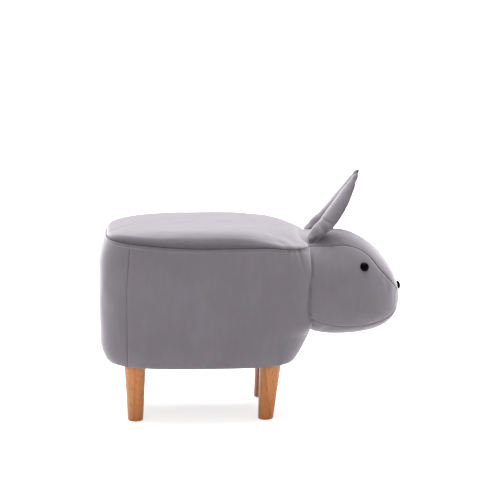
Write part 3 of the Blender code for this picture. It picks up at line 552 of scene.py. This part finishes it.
def wallColumns():
    places = []
    for first, last in zip(uprightSeams, uprightSeams[1:]):
        places += [first + (last - first) * share for share in shares(last - first, wall["step"])[:-1]]
    places.append(girth)
    # closer together where the cloth is gathered
    gathered = lengthAtX(0.114), lengthAtX(0.058)
    fine = []
    for here, ahead in zip(places, places[1:]):
        middle = min(here, girth - ahead) + (ahead - here) / 2.0
        count = 3 if gathered[0] < middle < gathered[1] else 1
        fine += [here + (ahead - here) * step / count for step in range(count)]
    return fine + [girth]


wallHeight = body["seam"] - body["hem"]


# How far the upright seam moves to the rear at a row, so that it stands nearly plumb
def seamShift(row, known={}):
    row = min(max(row, 0.0), 1.0)
    if row not in known:
        wanted = body["rearSeamX"] + 1.0 * mm - 7.3 * mm * ease((1.02 - row) / 0.42)
        low, high = -0.05, 0.05
        for _ in range(24):
            middle = (low + high) / 2.0
            if bodyPlan(angleAt(rearSeam + middle), row)[0] > wanted:
                low = middle
            else:
                high = middle
        known[row] = (low + high) / 2.0
    return known[row]


# Row 0 is the hem and 1 the seat seam. Below 0 the cloth is turned under the base.
def wallPlace(length, row, inset=None):
    inset = wall["inset"] if inset is None else inset
    angle = angleAt(length)
    for seam, side in ((rearSeam, 1.0), (girth - rearSeam, -1.0)):
        if abs(length - seam) < 0.13:
            angle = angleAt(length + side * seamShift(row) * bell(length - seam, 50.0 * mm))
    if row < 0.0:
        x, y = bodyPlan(angle, 0.0, inset + wall["turnUnder"] * -row)
        return Vector((x, y, body["hem"] + 0.9 * mm * ease(-row)))
    x, y = bodyPlan(angle, row, inset)
    x += cornerShift(x, y, row)
    return Vector((x, y, body["hem"] + (seamHeight(x) - body["hem"]) * row))


# Small gathers under the seat seam: x, slant, depth, width and reach down, the last three in mm
gathers = ((0.060, 0.02, 1.5, 1.9, 14.0), (0.068, 0.06, 1.9, 2.1, 18.0), (0.079, 0.10, 0.9, 2.1, 12.0),
           (0.089, 0.26, 2.2, 2.6, 24.0), (-0.213, -0.03, 0.8, 2.6, 16.0), (-0.228, -0.05, 0.9, 3.0, 14.0))


def makeWall():
    rows = [-1.0, -0.55, -0.25, -0.08] + shares(wallHeight, wall["levelStep"])
    piece = finishPiece("wallCover", gridPiece(wallColumns(), rows, wallPlace, closed=True), velvet)
    settleCloth(piece, lambda column, row: row <= 0.0 or row >= 0.999 or uprightGap(column) < 0.2 * mm,
                2.0, 14, wall["cap"], 0.004)

    def fold(point, column, row):
        if row < 0.0:
            return 0.0
        near = point.y < 0.0
        drop = (1.0 - row) * wallHeight
        move = seamDip(drop, 0.5 * mm, 0.8 * mm)
        move += -0.3 * mm * bell(drop - wall["stitchDrop"], 1.6 * mm)
        gap = uprightGap(column)
        move += seamDip(gap, 2.0 * mm, 1.6 * mm)
        hem = row * wallHeight
        move += -1.0 * mm * bell(hem, 3.0 * mm)
        # gathers under the seat seam, where the wall turns to the neck
        side = 1.0 if near else 0.8
        for x, lean, depth, size, reach in gathers:
            off = point.x - x - lean * drop
            move -= side * depth * mm * bell(off, size * mm) * math.exp(-drop / (reach * mm))
            move += side * 0.6 * depth * mm * bell(off - 1.9 * size * mm, size * mm) * math.exp(-drop / (reach * mm))
        # flatter under the chin
        move -= 2.0 * mm * ease((point.x - 0.05) / 0.05) * bell(row - 0.16, 0.12)
        # the cover is pulled to the neck
        outside = headClearance(point) if point.x > 0.05 else 1.0
        move += -0.8 * mm * math.exp(-max(outside, 0.0) / (1.8 * mm))
        if outside < 0.0:
            move -= 3.0 * mm * ease(-outside / (8.0 * mm))
        # hand-made unevenness
        quiet = ease(gap / (30.0 * mm)) * ease(drop / (25.0 * mm)) * ease(hem / (20.0 * mm))
        move += 0.9 * mm * ripple(point, 55.0 * mm, 3.0) * quiet
        move += 0.5 * mm * ripple(point, 9.0 * mm, 8.0) * math.exp(-drop / (9.0 * mm))
        return move
    sculpt(piece, fold)

    # Painted shade: dark lines in the seat and upright seam grooves, in the gathers' creases and along the neck crease,
    # and a darker strip just under the seat seam that tones down the light on the rolled top edge
    def seamShade(point, column, row):
        drop = (1.0 - row) * wallHeight
        dark = max(0.6 * bell(drop, 1.3 * mm), 0.16 * ease((8.0 * mm - drop) / (5.0 * mm)))
        dark = max(dark, 0.4 * bell(uprightGap(column), 0.8 * mm)) if row >= 0.0 else 0.0
        for x, lean, depth, size, reach in gathers:
            off = point.x - x - lean * drop
            dark = max(dark, 0.14 * depth * bell(off, 0.8 * size * mm) * math.exp(-drop / (0.8 * reach * mm)))
        if point.x > 0.05:
            dark = max(dark, 0.35 * bell(headClearance(point), 1.2 * mm))
        return dark
    paint(piece, "seamShade", seamShade)
    thick = piece.modifiers.new("padding", "SOLIDIFY")
    thick.thickness = wall["padding"]
    thick.offset = -1.0
    addSubdivision(piece)
    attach(piece, "stool")
    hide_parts("flank_panel_left", "flank_panel_right", "rear_panel", "wall_foam")
    return piece


wallCover = makeWall()
print("walls made")


# Seat: a crowned cushion, closed underneath
seat = {
    "cap": 1.2 * mm, "under": 0.334, "inset": 0.9 * mm, "overhang": 0.6 * mm, "boxy": 1.15, "frontFall": 7.0 * mm,
    "swells": ((1.5 * mm, -0.085, 0.050), (-1.8 * mm, -0.185, 0.050), (-2.2 * mm, 0.015, 0.030)),
}


# Row 0 is the seam and 1 the middle of the crown. Below 0 the cushion closes underneath.
def seatPlace(length, row):
    angle = angleAt(length)
    if row < 0.0:
        deep = min(1.0, -row * 4.0)
        x, y = bodyPlan(angle, 1.0, 3.0 * mm, 1.0 - max(0.0, (-row - 0.25) / 0.75))
        x += cornerShift(x, y, 1.0)
        edge = bodyPlan(angle, 1.0)[0]
        return Vector((x, y, seamHeight(edge) + (seat["under"] - seamHeight(edge)) * deep))
    # the roll of the edge takes the first rows
    scale = 1.0 - row
    x, y = bodyPlan(angle, 1.0, seat["inset"] - seat["overhang"], scale)
    boxy = seat["boxy"] * ease((0.045 - x) / 0.110) * ease((abs(math.sin(angle)) - 0.20) / 0.35)
    boxy *= ease(scale / 0.4) * (1.0 - ease(y / (50.0 * mm) + 0.5))
    shoulder = ease((x + 0.015) / 0.075) * ease((abs(y) - 0.015) / 0.070)
    edgePower = body["crownEdgePower"] + 5.5 * boxy - (4.0 if y < 0.0 else 0.5) * shoulder
    risePower = body["crownRisePower"] + 0.35 * boxy
    rise = (1.0 - 0.04 * boxy) * (1.0 - scale ** edgePower) ** (1.0 / risePower)
    x += cornerShift(x, y, 1.0) * scale
    front = ease((x - body["crownFrontX"]) / (body["frontX"] - body["crownFrontX"]))
    rear = ease((body["crownRearX"] - x) / (body["crownRearX"] - body["rearX"]))
    height = body["crown"] - body["crownFrontDrop"] * front - body["crownRearDrop"] * rear - seat["inset"]
    for rising, at, width in seat["swells"]:
        height += rising * bell(x - at, width)
    height -= seat["frontFall"] * ease((x - 0.084) / 0.026)
    return Vector((x, y, seamHeight(x) + height * rise))


def makeSeat():
    under = [-1.0, -0.8, -0.6, -0.4, -0.25, -0.12, -0.05]
    crown = [0.0, 0.0009, 0.0028, 0.006, 0.0105, 0.017, 0.026, 0.038, 0.053, 0.072, 0.095, 0.122]
    count = 24
    crown += [0.122 + (1.0 - 0.122) * step / count for step in range(1, count + 1)]
    lengths = [girth * step / 220.0 for step in range(221)]
    piece = finishPiece("seatCushion", gridPiece(lengths, under + crown, seatPlace, closed=True), velvet)
    settleCloth(piece, lambda column, row: row <= 0.0, 1.5, 14, seat["cap"], 0.001)

    def fold(point, column, row):
        if row < 0.0:
            return 0.0
        edge = row * 0.14
        move = seamDip(edge, 2.6 * mm, 1.3 * mm) + 1.1 * mm * bell(edge - 4.5 * mm, 4.0 * mm)
        # soft folds over the front shoulder, drawn to the neck
        for side in (-1.0, 1.0):
            for tip, away, depth, size in (((0.096, 0.124), (-0.034, -0.060), 1.1, 7.0),
                                           ((0.110, 0.104), (-0.046, -0.034), 0.6, 7.5),
                                           ((0.076, 0.134), (-0.040, -0.044), 0.6, 5.5)):
                start = Vector((tip[0], side * tip[1]))
                run = Vector((away[0], side * away[1]))
                flat = Vector((point.x, point.y)) - start
                along = flat.dot(run) / run.length_squared
                off = abs(flat.x * run.y - flat.y * run.x) / run.length
                fade = ease(1.0 - abs(along - 0.25) / 0.85)
                move -= depth * mm * bell(off, size * mm) * fade
                move += 0.5 * depth * mm * bell(off - 1.8 * size * mm, size * mm) * fade
        move += 1.1 * mm * ripple(point, 70.0 * mm, 5.0) * ease(edge / (40.0 * mm))
        move += 0.45 * mm * ripple(point, 10.0 * mm, 2.0) * math.exp(-edge / (8.0 * mm))
        outside = headClearance(point) if point.x > 0.05 else 1.0
        if outside < 12.0 * mm:
            move -= 2.0 * mm * math.exp(-max(outside, 0.0) / (4.0 * mm))
        return move
    sculpt(piece, fold)
    # Painted shade: a dark line along the edge roll at the seat seam, and the closed underside darker
    paint(piece, "seamShade", lambda point, column, row: 0.4 * bell(row * 0.14, 1.1 * mm) if row >= 0.0 else 0.5)
    addSubdivision(piece)
    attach(piece, "stool")
    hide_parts("seat_panel", "seat_foam")
    return piece


seatCushion = makeSeat()
print("seat made")


# Head: one stuffed form with four sewn seams from the neck to the muzzle

# Smooth value at a share, from values at places.
def between(share, places, values):
    for number in range(len(places) - 1):
        if share <= places[number + 1]:
            part = (share - places[number]) / (places[number + 1] - places[number])
            before, first, last, after = (values[max(0, min(len(values) - 1, number + step))]
                                          for step in (-1, 0, 1, 2))
            start, end = (last - before) / 2.0, (after - first) / 2.0
            return (first * (1 - part) ** 2 * (1 + 2 * part) + last * part ** 2 * (3 - 2 * part)
                    + start * part * (1 - part) ** 2 - end * part ** 2 * (1 - part))
    return values[-1]


def seamAngles(share):
    brow = between(share, head["seamShares"], head["browSeam"])
    chin = between(share, head["seamShares"], head["chinSeam"])
    return [math.radians(angle) for angle in (chin, brow, 180.0 - brow, 180.0 - chin, 360.0 + chin)]


# Columns run 0 to 4 around the head, with a seam at each whole number.
def headPlace(column, share):
    seams = seamAngles(share)
    panel = min(3, int(column))
    angle = seams[panel] + (seams[panel + 1] - seams[panel]) * (column - panel)
    neck = (head["middleX"] - head["backX"]) / (head["muzzleX"] - head["backX"])
    if share <= neck:
        x = head["backX"] + (head["muzzleX"] - head["backX"]) * share
    else:
        x = head["middleX"] + (head["muzzleX"] - head["middleX"]) * math.sin((share - neck) / (1.0 - neck) * math.pi / 2.0)
    width, above, below = headSection(x)
    width += neckFlare(x)
    across, up = math.cos(angle), math.sin(angle)
    power = head["sectionPower"]
    radius = (abs(across) ** power + abs(up) ** power) ** (-1.0 / power)
    tall = above if up > 0.0 else below
    return Vector((x, width * radius * across, head["muzzleZ"] + tall * radius * up))


headPanelWidths = (0.130, 0.150, 0.130, 0.170)


# Rough length along the cloth to the nearest seam.
def headSeamGap(column, share):
    panel = min(3, int(column))
    part = column - panel
    size = headPanelWidths[panel] * max(0.05, math.cos(share ** 3 * math.pi / 2.0))
    return min(part, 1.0 - part) * size


def makeHead():
    columns = []
    for panel, width in enumerate(headPanelWidths):
        part = shares(width, 5.5 * mm)
        columns += [panel + share for share in part[:-1]]
    columns.append(4.0)
    count = 46
    rows = [step / count for step in range(count + 1)]
    piece = finishPiece("stuffedHead", gridPiece(columns, rows, headPlace, closed=True), velvet)
    closeEnd(piece)
    settleCloth(piece, lambda column, row: row < 0.1 or row > 0.97 or abs(column - round(column)) < 1e-4,
                3.0, 18, 2.5 * mm, 0.008)

    def fold(point, column, row):
        gap = headSeamGap(column, row)
        fade = ease((1.0 - row) / 0.12)
        move = seamDip(gap, 2.0 * mm, 1.5 * mm) * (0.25 + 0.75 * fade)
        away = bodyClearance(point)
        move += -1.5 * mm * math.exp(-max(away, 0.0) / (2.2 * mm))
        move += 0.8 * mm * ripple(point, 45.0 * mm, 11.0) * fade
        # slack over the brow, between the ears and the neck
        crownPanel = 1.0 < column < 2.0
        if crownPanel:
            move += 0.9 * mm * ripple(point, 14.0 * mm, 21.0) * bell(point.x - 0.150, 0.035)
        move += 0.35 * mm * ripple(point, 8.0 * mm, 31.0) * math.exp(-gap / (7.0 * mm)) * fade
        return move
    sculpt(piece, fold)

    # Painted shade: dark lines along the seams and the neck crease, and a painted shadow before each ear
    def seamShade(point, column, row):
        fade = ease((1.0 - row) / 0.06)
        dark = 0.45 * bell(headSeamGap(column, row), 0.8 * mm) * fade
        # painted shadow in the deep fold in front of each ear's root
        sewn = Vector((point.x - 0.134, 0.8 * (abs(point.y) - 0.047), 1.5 * max(0.0, 0.335 - point.z)))
        return max(dark, 0.4 * bell(bodyClearance(point), 1.2 * mm), 0.55 * bell(sewn.length, 8.0 * mm))
    paint(piece, "seamShade", seamShade)
    addSubdivision(piece)
    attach(piece, "stool")
    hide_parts("head_filling", "head_side_left", "head_side_right", "head_crown_panel", "head_chin_panel")
    return piece


# Caps an open loop, so that the form is closed where nobody sees it.
def closeEnd(piece):
    builder = bmesh.new()
    builder.from_mesh(piece.data)
    loose = [edge for edge in builder.edges if edge.is_boundary]
    if loose:
        bmesh.ops.holes_fill(builder, edges=loose, sides=0)
        bmesh.ops.recalc_face_normals(builder, faces=builder.faces)
    builder.to_mesh(piece.data)
    builder.free()
    piece.data.shade_smooth()


stuffedHead = makeHead()
print("head made")


# Ears: stuffed leaves folded lengthwise, pinched above a round root
ear = {
    "length": 0.1612, "halfWidth": 0.0300, "rootHalfWidth": 0.0225, "tipHalfWidth": 0.0026,
    "padding": 0.0200, "rootRadius": 0.0136, "trough": 0.0120, "spacing": 0.084, "twist": -9.0,
    "rootX": 0.1290, "rootRise": 0.0005, "lean": 57.4, "leftExtraLean": 4.4,
    "widest": 0.42, "flatRoot": 0.13,
}


def earRoot(side):
    across = ear["spacing"] / 2.0
    width, above, _ = headSection(ear["rootX"])
    level = (1.0 - (across / width) ** head["sectionPower"]) ** (1.0 / head["sectionPower"])
    return Vector((ear["rootX"], side * across, head["muzzleZ"] + above * level + ear["rootRise"]))


def earHalfWidth(share):
    if share < ear["widest"]:
        return ear["rootHalfWidth"] + (ear["halfWidth"] - ear["rootHalfWidth"]) * ease(share / ear["widest"])
    close = (share - ear["widest"]) / (1.0 - ear["widest"])
    return ear["tipHalfWidth"] + (ear["halfWidth"] - ear["tipHalfWidth"]) * (1.0 - close ** 2.2)


def makeEar(name, side):
    lean = math.radians(ear["lean"] - (ear["leftExtraLean"] if side > 0.0 else 0.0))
    axis = Vector((math.cos(lean), 0.0, math.sin(lean)))
    forward = Vector((math.sin(lean), 0.0, -math.cos(lean)))
    root = earRoot(side) - axis * (ear["rootRadius"] - 1.2 * mm)

    # Around runs 0 to 2: the back panel from rim to rim, then the front panel.
    def place(around, share):
        half = earHalfWidth(share)
        facing = 1.0 if around > 1.0 else -1.0
        turn = (around - 1.0 if around > 1.0 else around) * math.pi
        across = math.cos(turn) * facing
        cup = ease((share - ear["flatRoot"] / 2.0) / ear["flatRoot"])
        fold = ear["trough"] * cup * (half / ear["halfWidth"])
        slope = 2.0 * fold * across / half
        out = (Vector((0.0, -slope, 0.0)) + forward).normalized()
        flesh = ear["padding"] / 2.0 * (1.0 - 0.55 * share)
        rootShare = min(1.0, share * ear["length"] / ear["rootRadius"])
        roundRoot = ear["rootRadius"] * math.sqrt(max(0.0, 1.0 - (1.0 - rootShare) ** 2))
        blend = ease(share / ear["flatRoot"])
        thick = roundRoot * (1.0 - blend) + flesh * blend
        thick *= 1.0 + (0.20 * bell(share - 0.13, 0.13) if facing < 0.0 else 0.22 * ease(share / 0.55) - 0.28 * bell(share - 0.20, 0.15))
        thick *= max(0.0, math.sin(turn)) ** 0.62
        closing = min(1.0, (1.0 - share) / 0.03) ** 0.5
        middle = root + axis * (ear["length"] * share) + forward * (fold * (across * across - 0.5))
        middle += Vector((0.0, half * across * closing, 0.0))
        spot = middle + out * (facing * thick * closing)
        # turned a little outwards about its own length
        twist = math.radians(ear["twist"]) * ease(share / 0.35)
        offset = spot - (root + axis * (ear["length"] * share)) + forward * (3.0 * mm * math.sin(math.pi * share))
        offset += Vector((-6.5 * mm * (1.0 - ease(share / 0.32)), 0.0, -1.0 * mm * (1.0 - ease(share / 0.2))))
        ahead, outward = offset.dot(forward), side * offset.y
        turned = forward * (ahead * math.cos(twist) - outward * math.sin(twist))
        turned.y = side * (outward * math.cos(twist) + ahead * math.sin(twist))
        return root + axis * (ear["length"] * share + offset.dot(axis)) + turned

    count = 30
    columns = [step / count for step in range(2 * count + 1)]
    rows = [0.0, 0.004, 0.012, 0.025, 0.042, 0.062] + [0.062 + 0.93 * step / 58.0 for step in range(1, 59)] + [0.997, 1.0]
    piece = finishPiece(name, gridPiece(columns, rows, place, closed=True), velvet)
    closeEnd(piece)
    settleCloth(piece, lambda column, row: row < 0.05 or row > 0.98 or abs(column - round(column)) < 1e-4,
                2.0, 14, 1.2 * mm, 0.008)

    # Creases above the root: place, depth in mm, width and slant. They run out towards the inner rim.
    creases = ((0.265, 2.6, 0.026, 0.05), (0.305, 1.1, 0.016, -0.03), (0.120, 1.0, 0.014, 0.03),
               (0.155, 0.9, 0.012, 0.06))

    def outerShare(column):
        return 0.15 + 0.85 * ease(0.55 - 0.55 * side * math.cos(column * math.pi))

    def rimGap(column, row):
        part = column % 1.0
        return min(part, 1.0 - part) * earHalfWidth(min(row, 1.0)) * 2.2

    def fold(point, column, row):
        gap = rimGap(column, row)
        move = seamDip(gap, 1.9 * mm, 1.6 * mm) * ease((1.0 - row) / 0.05)
        back = column < 1.0
        # pinch above the root, with its creases
        near = 1.0 if side < 0.0 else 0.45
        for at, depth, size, slant in creases:
            depth *= near
            centre = at + slant * math.cos(column * math.pi) * side
            share = outerShare(column) * (1.0 if back else 0.6)
            move -= depth * mm * bell(row - centre, size) * share
            move += 0.5 * depth * mm * bell(row - centre - 1.9 * size, size) * share
        move += 0.6 * near * mm * ripple(point, 13.0 * mm, 41.0 + side) * bell(row - 0.2, 0.14)
        move += 0.6 * mm * ripple(point, 24.0 * mm, 51.0 + side)
        # small fold at the tip
        move -= 1.3 * mm * bell(row - 0.90, 0.018) * (1.0 if not back else 0.4)
        # lengthwise valley of the folded front
        if not back:
            middle = abs(column - 1.5)
            move -= 1.2 * mm * bell(middle, 0.06) * ease(row / 0.2)
        return move
    sculpt(piece, fold)

    # Painted shade: a dark line along the rim seam, the whole ear a little darker and more so towards the root, and
    # dark lines in the creases
    def seamShade(point, column, row):
        dark = 0.62 * bell(rimGap(column, row), 1.2 * mm)
        dark = max(dark, 0.08 + 0.26 * ease((0.30 - row) / 0.20))
        for at, depth, size, slant in creases:
            centre = at + slant * math.cos(column * math.pi) * side
            dark += 0.11 * depth * bell(row - centre, 0.5 * size) * outerShare(column)
        return dark
    paint(piece, "seamShade", seamShade)
    addSubdivision(piece)
    label = "left" if side > 0.0 else "right"
    hinge = earRoot(side)
    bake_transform(piece)
    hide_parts("ear_wadding_" + label, "ear_front_panel_" + label, "ear_back_panel_" + label)
    return piece


earRight = makeEar("earRight", -1.0)
earLeft = makeEar("earLeft", 1.0)
print("ears made")


# Legs: turned and tapered, screwed up against the base
leg = {
    "top": 0.1137, "topRadius": 0.0217, "footRadius": 0.0149, "footRound": 2.2 * mm, "topRound": 0.8 * mm,
    "spacing": 0.169, "rearX": -0.2305, "frontX": 0.0365, "setBack": 0.0100, "sides": 64,
}


# Turns a run of (radius, height) points into a closed body about Z.
def spinProfile(builder, points, sides):
    verts = [builder.verts.new((radius, 0.0, height)) for radius, height in points]
    edges = [builder.edges.new(pair) for pair in zip(verts, verts[1:])]
    bmesh.ops.spin(builder, geom=verts + edges, cent=(0.0, 0.0, 0.0), axis=(0.0, 0.0, 1.0), dvec=(0.0, 0.0, 0.0),
                   angle=2.0 * math.pi, steps=sides, use_merge=True, use_duplicate=False)
    bmesh.ops.remove_doubles(builder, verts=builder.verts, dist=0.005 * mm)
    bmesh.ops.recalc_face_normals(builder, faces=builder.faces)


def makeLeg(label, x, side, setBack):
    builder = bmesh.new()
    radius, bend = leg["footRadius"], leg["footRound"]
    points = [(0.0, 0.25 * mm), (radius - bend - 1.5 * mm, 0.25 * mm), (radius - bend - 0.8 * mm, 0.0)]
    for turn in range(0, 91, 15):
        angle = math.radians(turn)
        points.append((radius - bend + bend * math.sin(angle), bend * (1.0 - math.cos(angle))))
    for step in range(1, 12):
        height = bend + (leg["top"] - 1.5 * mm - bend) * step / 11.0
        points.append((radius + (leg["topRadius"] - radius) * (height / leg["top"]), height))
    points += [(leg["topRadius"] - leg["topRound"], leg["top"] - 0.3 * mm), (0.0, leg["top"])]
    spinProfile(builder, points, leg["sides"])
    for vert in builder.verts:
        vert.co.x -= setBack * (leg["top"] - vert.co.z) / leg["top"]
        vert.co += Vector((x, side * leg["spacing"] / 2.0, 0.0))
    name = "leg_" + label
    piece = finishPiece("turnedLeg_" + label, builder, legWood)
    piece.data.set_sharp_from_angle(angle=math.radians(50.0))
    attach(piece, "stool")
    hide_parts(name)
    return piece


for sideName, side in (("right", -1.0), ("left", 1.0)):
    makeLeg("front_" + sideName, leg["frontX"], side, leg["setBack"])
    makeLeg("rear_" + sideName, leg["rearX"], side, 0.0)
print("legs made")


# Buttons: eyes and nose, domed over a thin rim
# First point and normal that a line meets on a finished piece.
def surfaceUnder(piece, start, direction):
    shown = piece.evaluated_get(bpy.context.evaluated_depsgraph_get())
    mesh = shown.to_mesh()
    tree = BVHTree.FromPolygons([vert.co for vert in mesh.vertices], [list(face.vertices) for face in mesh.polygons])
    shown.to_mesh_clear()
    return tree.ray_cast(start, direction)[:2]


def makeButton(radius, dome):
    builder = bmesh.new()
    rim = 0.9 * mm
    points = [(0.0, -7.0 * mm), (2.2 * mm, -7.0 * mm), (2.2 * mm, -1.6 * mm), (radius - rim, -1.6 * mm),
              (radius - 0.25 * mm, -1.2 * mm), (radius, -0.5 * mm), (radius - 0.15 * mm, 0.25 * mm)]
    for step in range(1, 15):
        angle = math.pi / 2.0 * step / 14.0
        points.append(((radius - 0.35 * mm) * math.cos(angle), 0.3 * mm + dome * math.sin(angle)))
    spinProfile(builder, points, 48)
    return builder


def placeButton(name, node, at, direction, radius, dome, proud):
    builder = makeButton(radius, dome)
    turn = Vector((0.0, 0.0, 1.0)).rotation_difference(direction).to_matrix().to_4x4()
    bmesh.ops.transform(builder, matrix=Matrix.Translation(at + direction * proud) @ turn, verts=builder.verts)
    piece = finishPiece(name, builder, buttonBlack)
    piece.data.set_sharp_from_angle(angle=math.radians(50.0))
    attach(piece, "stool")
    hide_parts(node)
    return piece


for label, side in (("left", 1.0), ("right", -1.0)):
    hit, out = surfaceUnder(stuffedHead, Vector((0.2200, side * 0.3, 0.3055)), Vector((0.0, -side, 0.0)))
    out = out if out.y * side > 0.0 else -out
    placeButton("eyeButton_" + label, "eye_" + label, hit, out, 9.3 * mm, 6.0 * mm, 0.9 * mm)
hit, out = surfaceUnder(stuffedHead, Vector((0.5, 0.0, 0.2490)), Vector((-1.0, 0.0, 0.0)))
out = out if out.x > 0.0 else -out
out.y = 0.0
placeButton("noseButton", "nose", hit, out.normalized(), 9.4 * mm, 6.2 * mm, 0.8 * mm)
print("buttons made")


# Topstitching below the seat seam
stitch = {"pitch": 6.2 * mm, "length": 2.7 * mm, "width": 1.0 * mm}


def makeStitches():
    shown = wallCover.evaluated_get(bpy.context.evaluated_depsgraph_get())
    mesh = shown.to_mesh()
    tree = BVHTree.FromPolygons([vert.co for vert in mesh.vertices], [list(face.vertices) for face in mesh.polygons])
    shown.to_mesh_clear()
    builder = bmesh.new()
    count = round(girth / stitch["pitch"])
    for number in range(count):
        length = girth * (number + 0.5) / count
        row = 1.0 - wall["stitchDrop"] / wallHeight
        here = wallPlace(length, row)
        ahead = wallPlace(length + 1.0 * mm if length + mm < girth else length - mm, row)
        run = (ahead - here).normalized() * (1.0 if length + mm < girth else -1.0)
        out = run.cross(Vector((0.0, 0.0, 1.0))).normalized()
        start = here + out * 0.03
        spot, normal = tree.ray_cast(start, -out)[:2]
        if spot is None or spot.x > 0.05 and headClearance(spot) < 2.0 * mm:
            continue
        normal = normal if normal.dot(out) > 0.0 else -normal
        lie = (run - normal * run.dot(normal)).normalized()
        lie = (lie + normal.cross(lie) * (0.16 if number % 2 else -0.16)).normalized()
        turn = Matrix((lie, normal.cross(lie), normal)).transposed().to_4x4()
        shape = Matrix.Diagonal((stitch["length"] / 2.0, stitch["width"] / 2.0, stitch["width"] / 2.0, 1.0))
        place = Matrix.Translation(spot + normal * (0.12 * mm)) @ turn @ shape
        bmesh.ops.create_uvsphere(builder, u_segments=8, v_segments=6, radius=1.0, matrix=place)
    piece = finishPiece("topStitching", builder, thread)
    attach(piece, "stool")


makeStitches()
print("stitches made")


# Underside: lining sheet with its staples
def makeUnderside():
    angles = [2.0 * math.pi * step / 120.0 for step in range(121)]
    rings = [0.0, 0.012, 0.03] + [0.03 + 0.97 * step / 14.0 for step in range(1, 15)]

    def place(angle, row):
        x, y = bodyPlan(angle, 0.0, 8.0 * mm, 1.0 - row)
        sag = -0.5 * mm * ease(row / 0.2)
        rumple = 0.35 * mm * ripple(Vector((x, y, 0.0)), 40.0 * mm, 61.0) * ease(row / 0.1)
        edge = 0.5 * mm * ease(row / 0.02)
        return Vector((x, y, body["hem"] - 0.2 * mm + edge + sag + rumple))
    sheet = finishPiece("dustSheet", gridPiece(angles, rings, place, closed=True), lining)
    thick = sheet.modifiers.new("felt", "SOLIDIFY")
    thick.thickness = 0.4 * mm
    thick.offset = 0.0
    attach(sheet, "stool")
    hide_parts("dust_cover")

    builder = bmesh.new()
    for number in range(54):
        angle = angleAt(girth * (number + 0.37) / 54.0)
        x, y = bodyPlan(angle, 0.0, 12.0 * mm)
        ahead = bodyPlan(angle + 0.01, 0.0, 12.0 * mm)
        turn = math.atan2(ahead[1] - y, ahead[0] - x) + 0.12 * math.sin(number * 2.3)
        place = Matrix.Translation((x, y, body["hem"] - 0.35 * mm)) @ Matrix.Rotation(turn, 4, "Z")
        made = bmesh.ops.create_cube(builder, size=1.0, matrix=place @ Matrix.Diagonal((9.5 * mm, 0.9 * mm, 0.5 * mm, 1.0)))
        edges = list({edge for vert in made["verts"] for edge in vert.link_edges})
        bmesh.ops.bevel(builder, geom=edges, offset=0.15 * mm, segments=2, profile=0.5, affect="EDGES", material=-1)
    staples = finishPiece("staples", builder, zinc)
    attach(staples, "stool")


makeUnderside()
print("underside made")


# Kept frame parts get their own finish
finishes = {
    "post_": pine, "base_board": plywood, "top_board": plywood, "shell_board": hardboard,
    "base_screw": zinc, "top_screw": zinc, "leg_bolt": zinc, "tee_nut": zinc,
    "eye_left_washer": washerClear, "eye_right_washer": washerClear, "nose_washer": washerClear,
}
for nodeName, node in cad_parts.items():
    for start, finish in finishes.items():
        if nodeName.startswith(start):
            node.data.materials.clear()
            node.data.materials.append(finish)
print("frame parts finished")


# Studio: white sweep, broad soft light from above
studio = {"world": 0.60, "top": 205.0, "front": 6.5, "floorCamera": 0.60}


def makeStudio():
    builder = bmesh.new()
    bmesh.ops.create_grid(builder, x_segments=1, y_segments=1, size=12.0)
    floor, tree, shader = startMaterial("paintedWhiteFloor", Roughness=0.8, Base_Color=shade("#f4f4f4"))
    path = addNode(tree, "ShaderNodeLightPath")
    seen = addNode(tree, "ShaderNodeMath", links={0: (path, "Is Camera Ray"), 1: (path, "Is Glossy Ray")}, operation="MAXIMUM")
    glow = addNode(tree, "ShaderNodeEmission", {"Color": shade("#ffffff")},
                   {"Strength": (addNode(tree, "ShaderNodeMath", {1: studio["floorCamera"]}, {0: (seen, "Value")},
                                         operation="MULTIPLY"), "Value")})
    both = addNode(tree, "ShaderNodeAddShader", links={0: (shader, "BSDF"), 1: (glow, "Emission")})
    tree.links.new(both.outputs["Shader"], tree.nodes["Material Output"].inputs["Surface"])
    piece = finishPiece("studioFloor", builder, floor, smooth=False)

    world = bpy.data.worlds.new("studio")
    bpy.context.scene.world = world
    world.use_nodes = True
    worldTree = world.node_tree
    sky = worldTree.nodes["Background"]
    sky.inputs["Color"].default_value = shade("#ffffff")
    ray = addNode(worldTree, "ShaderNodeLightPath")
    most = addNode(worldTree, "ShaderNodeMath", links={0: (ray, "Is Camera Ray"), 1: (ray, "Is Glossy Ray")}, operation="MAXIMUM")
    most = addNode(worldTree, "ShaderNodeMath", links={0: (most, "Value"), 1: (ray, "Is Transmission Ray")}, operation="MAXIMUM")
    strength = addNode(worldTree, "ShaderNodeMapRange", {"To Min": studio["world"], "To Max": 1.0}, {"Value": (most, "Value")})
    worldTree.links.new(strength.outputs["Result"], sky.inputs["Strength"])

    for name, at, size, power in (("overhead", (0.0, 0.85, 2.6), 3.0, studio["top"]),
                                  ("frontFill", (-1.2, -2.8, 1.5), 2.2, studio["front"])):
        lamp = bpy.data.lights.new(name, "AREA")
        lamp.shape, lamp.size, lamp.energy = "SQUARE", size, power
        holder = bpy.data.objects.new(name, lamp)
        holder.location = at
        holder.rotation_euler = (Vector((0.0, 0.0, 0.25)) - Vector(at)).to_track_quat("-Z", "Y").to_euler()
        bpy.context.scene.collection.objects.link(holder)
    bpy.context.scene.view_settings.view_transform = "Standard"


makeStudio()
print("studio made")
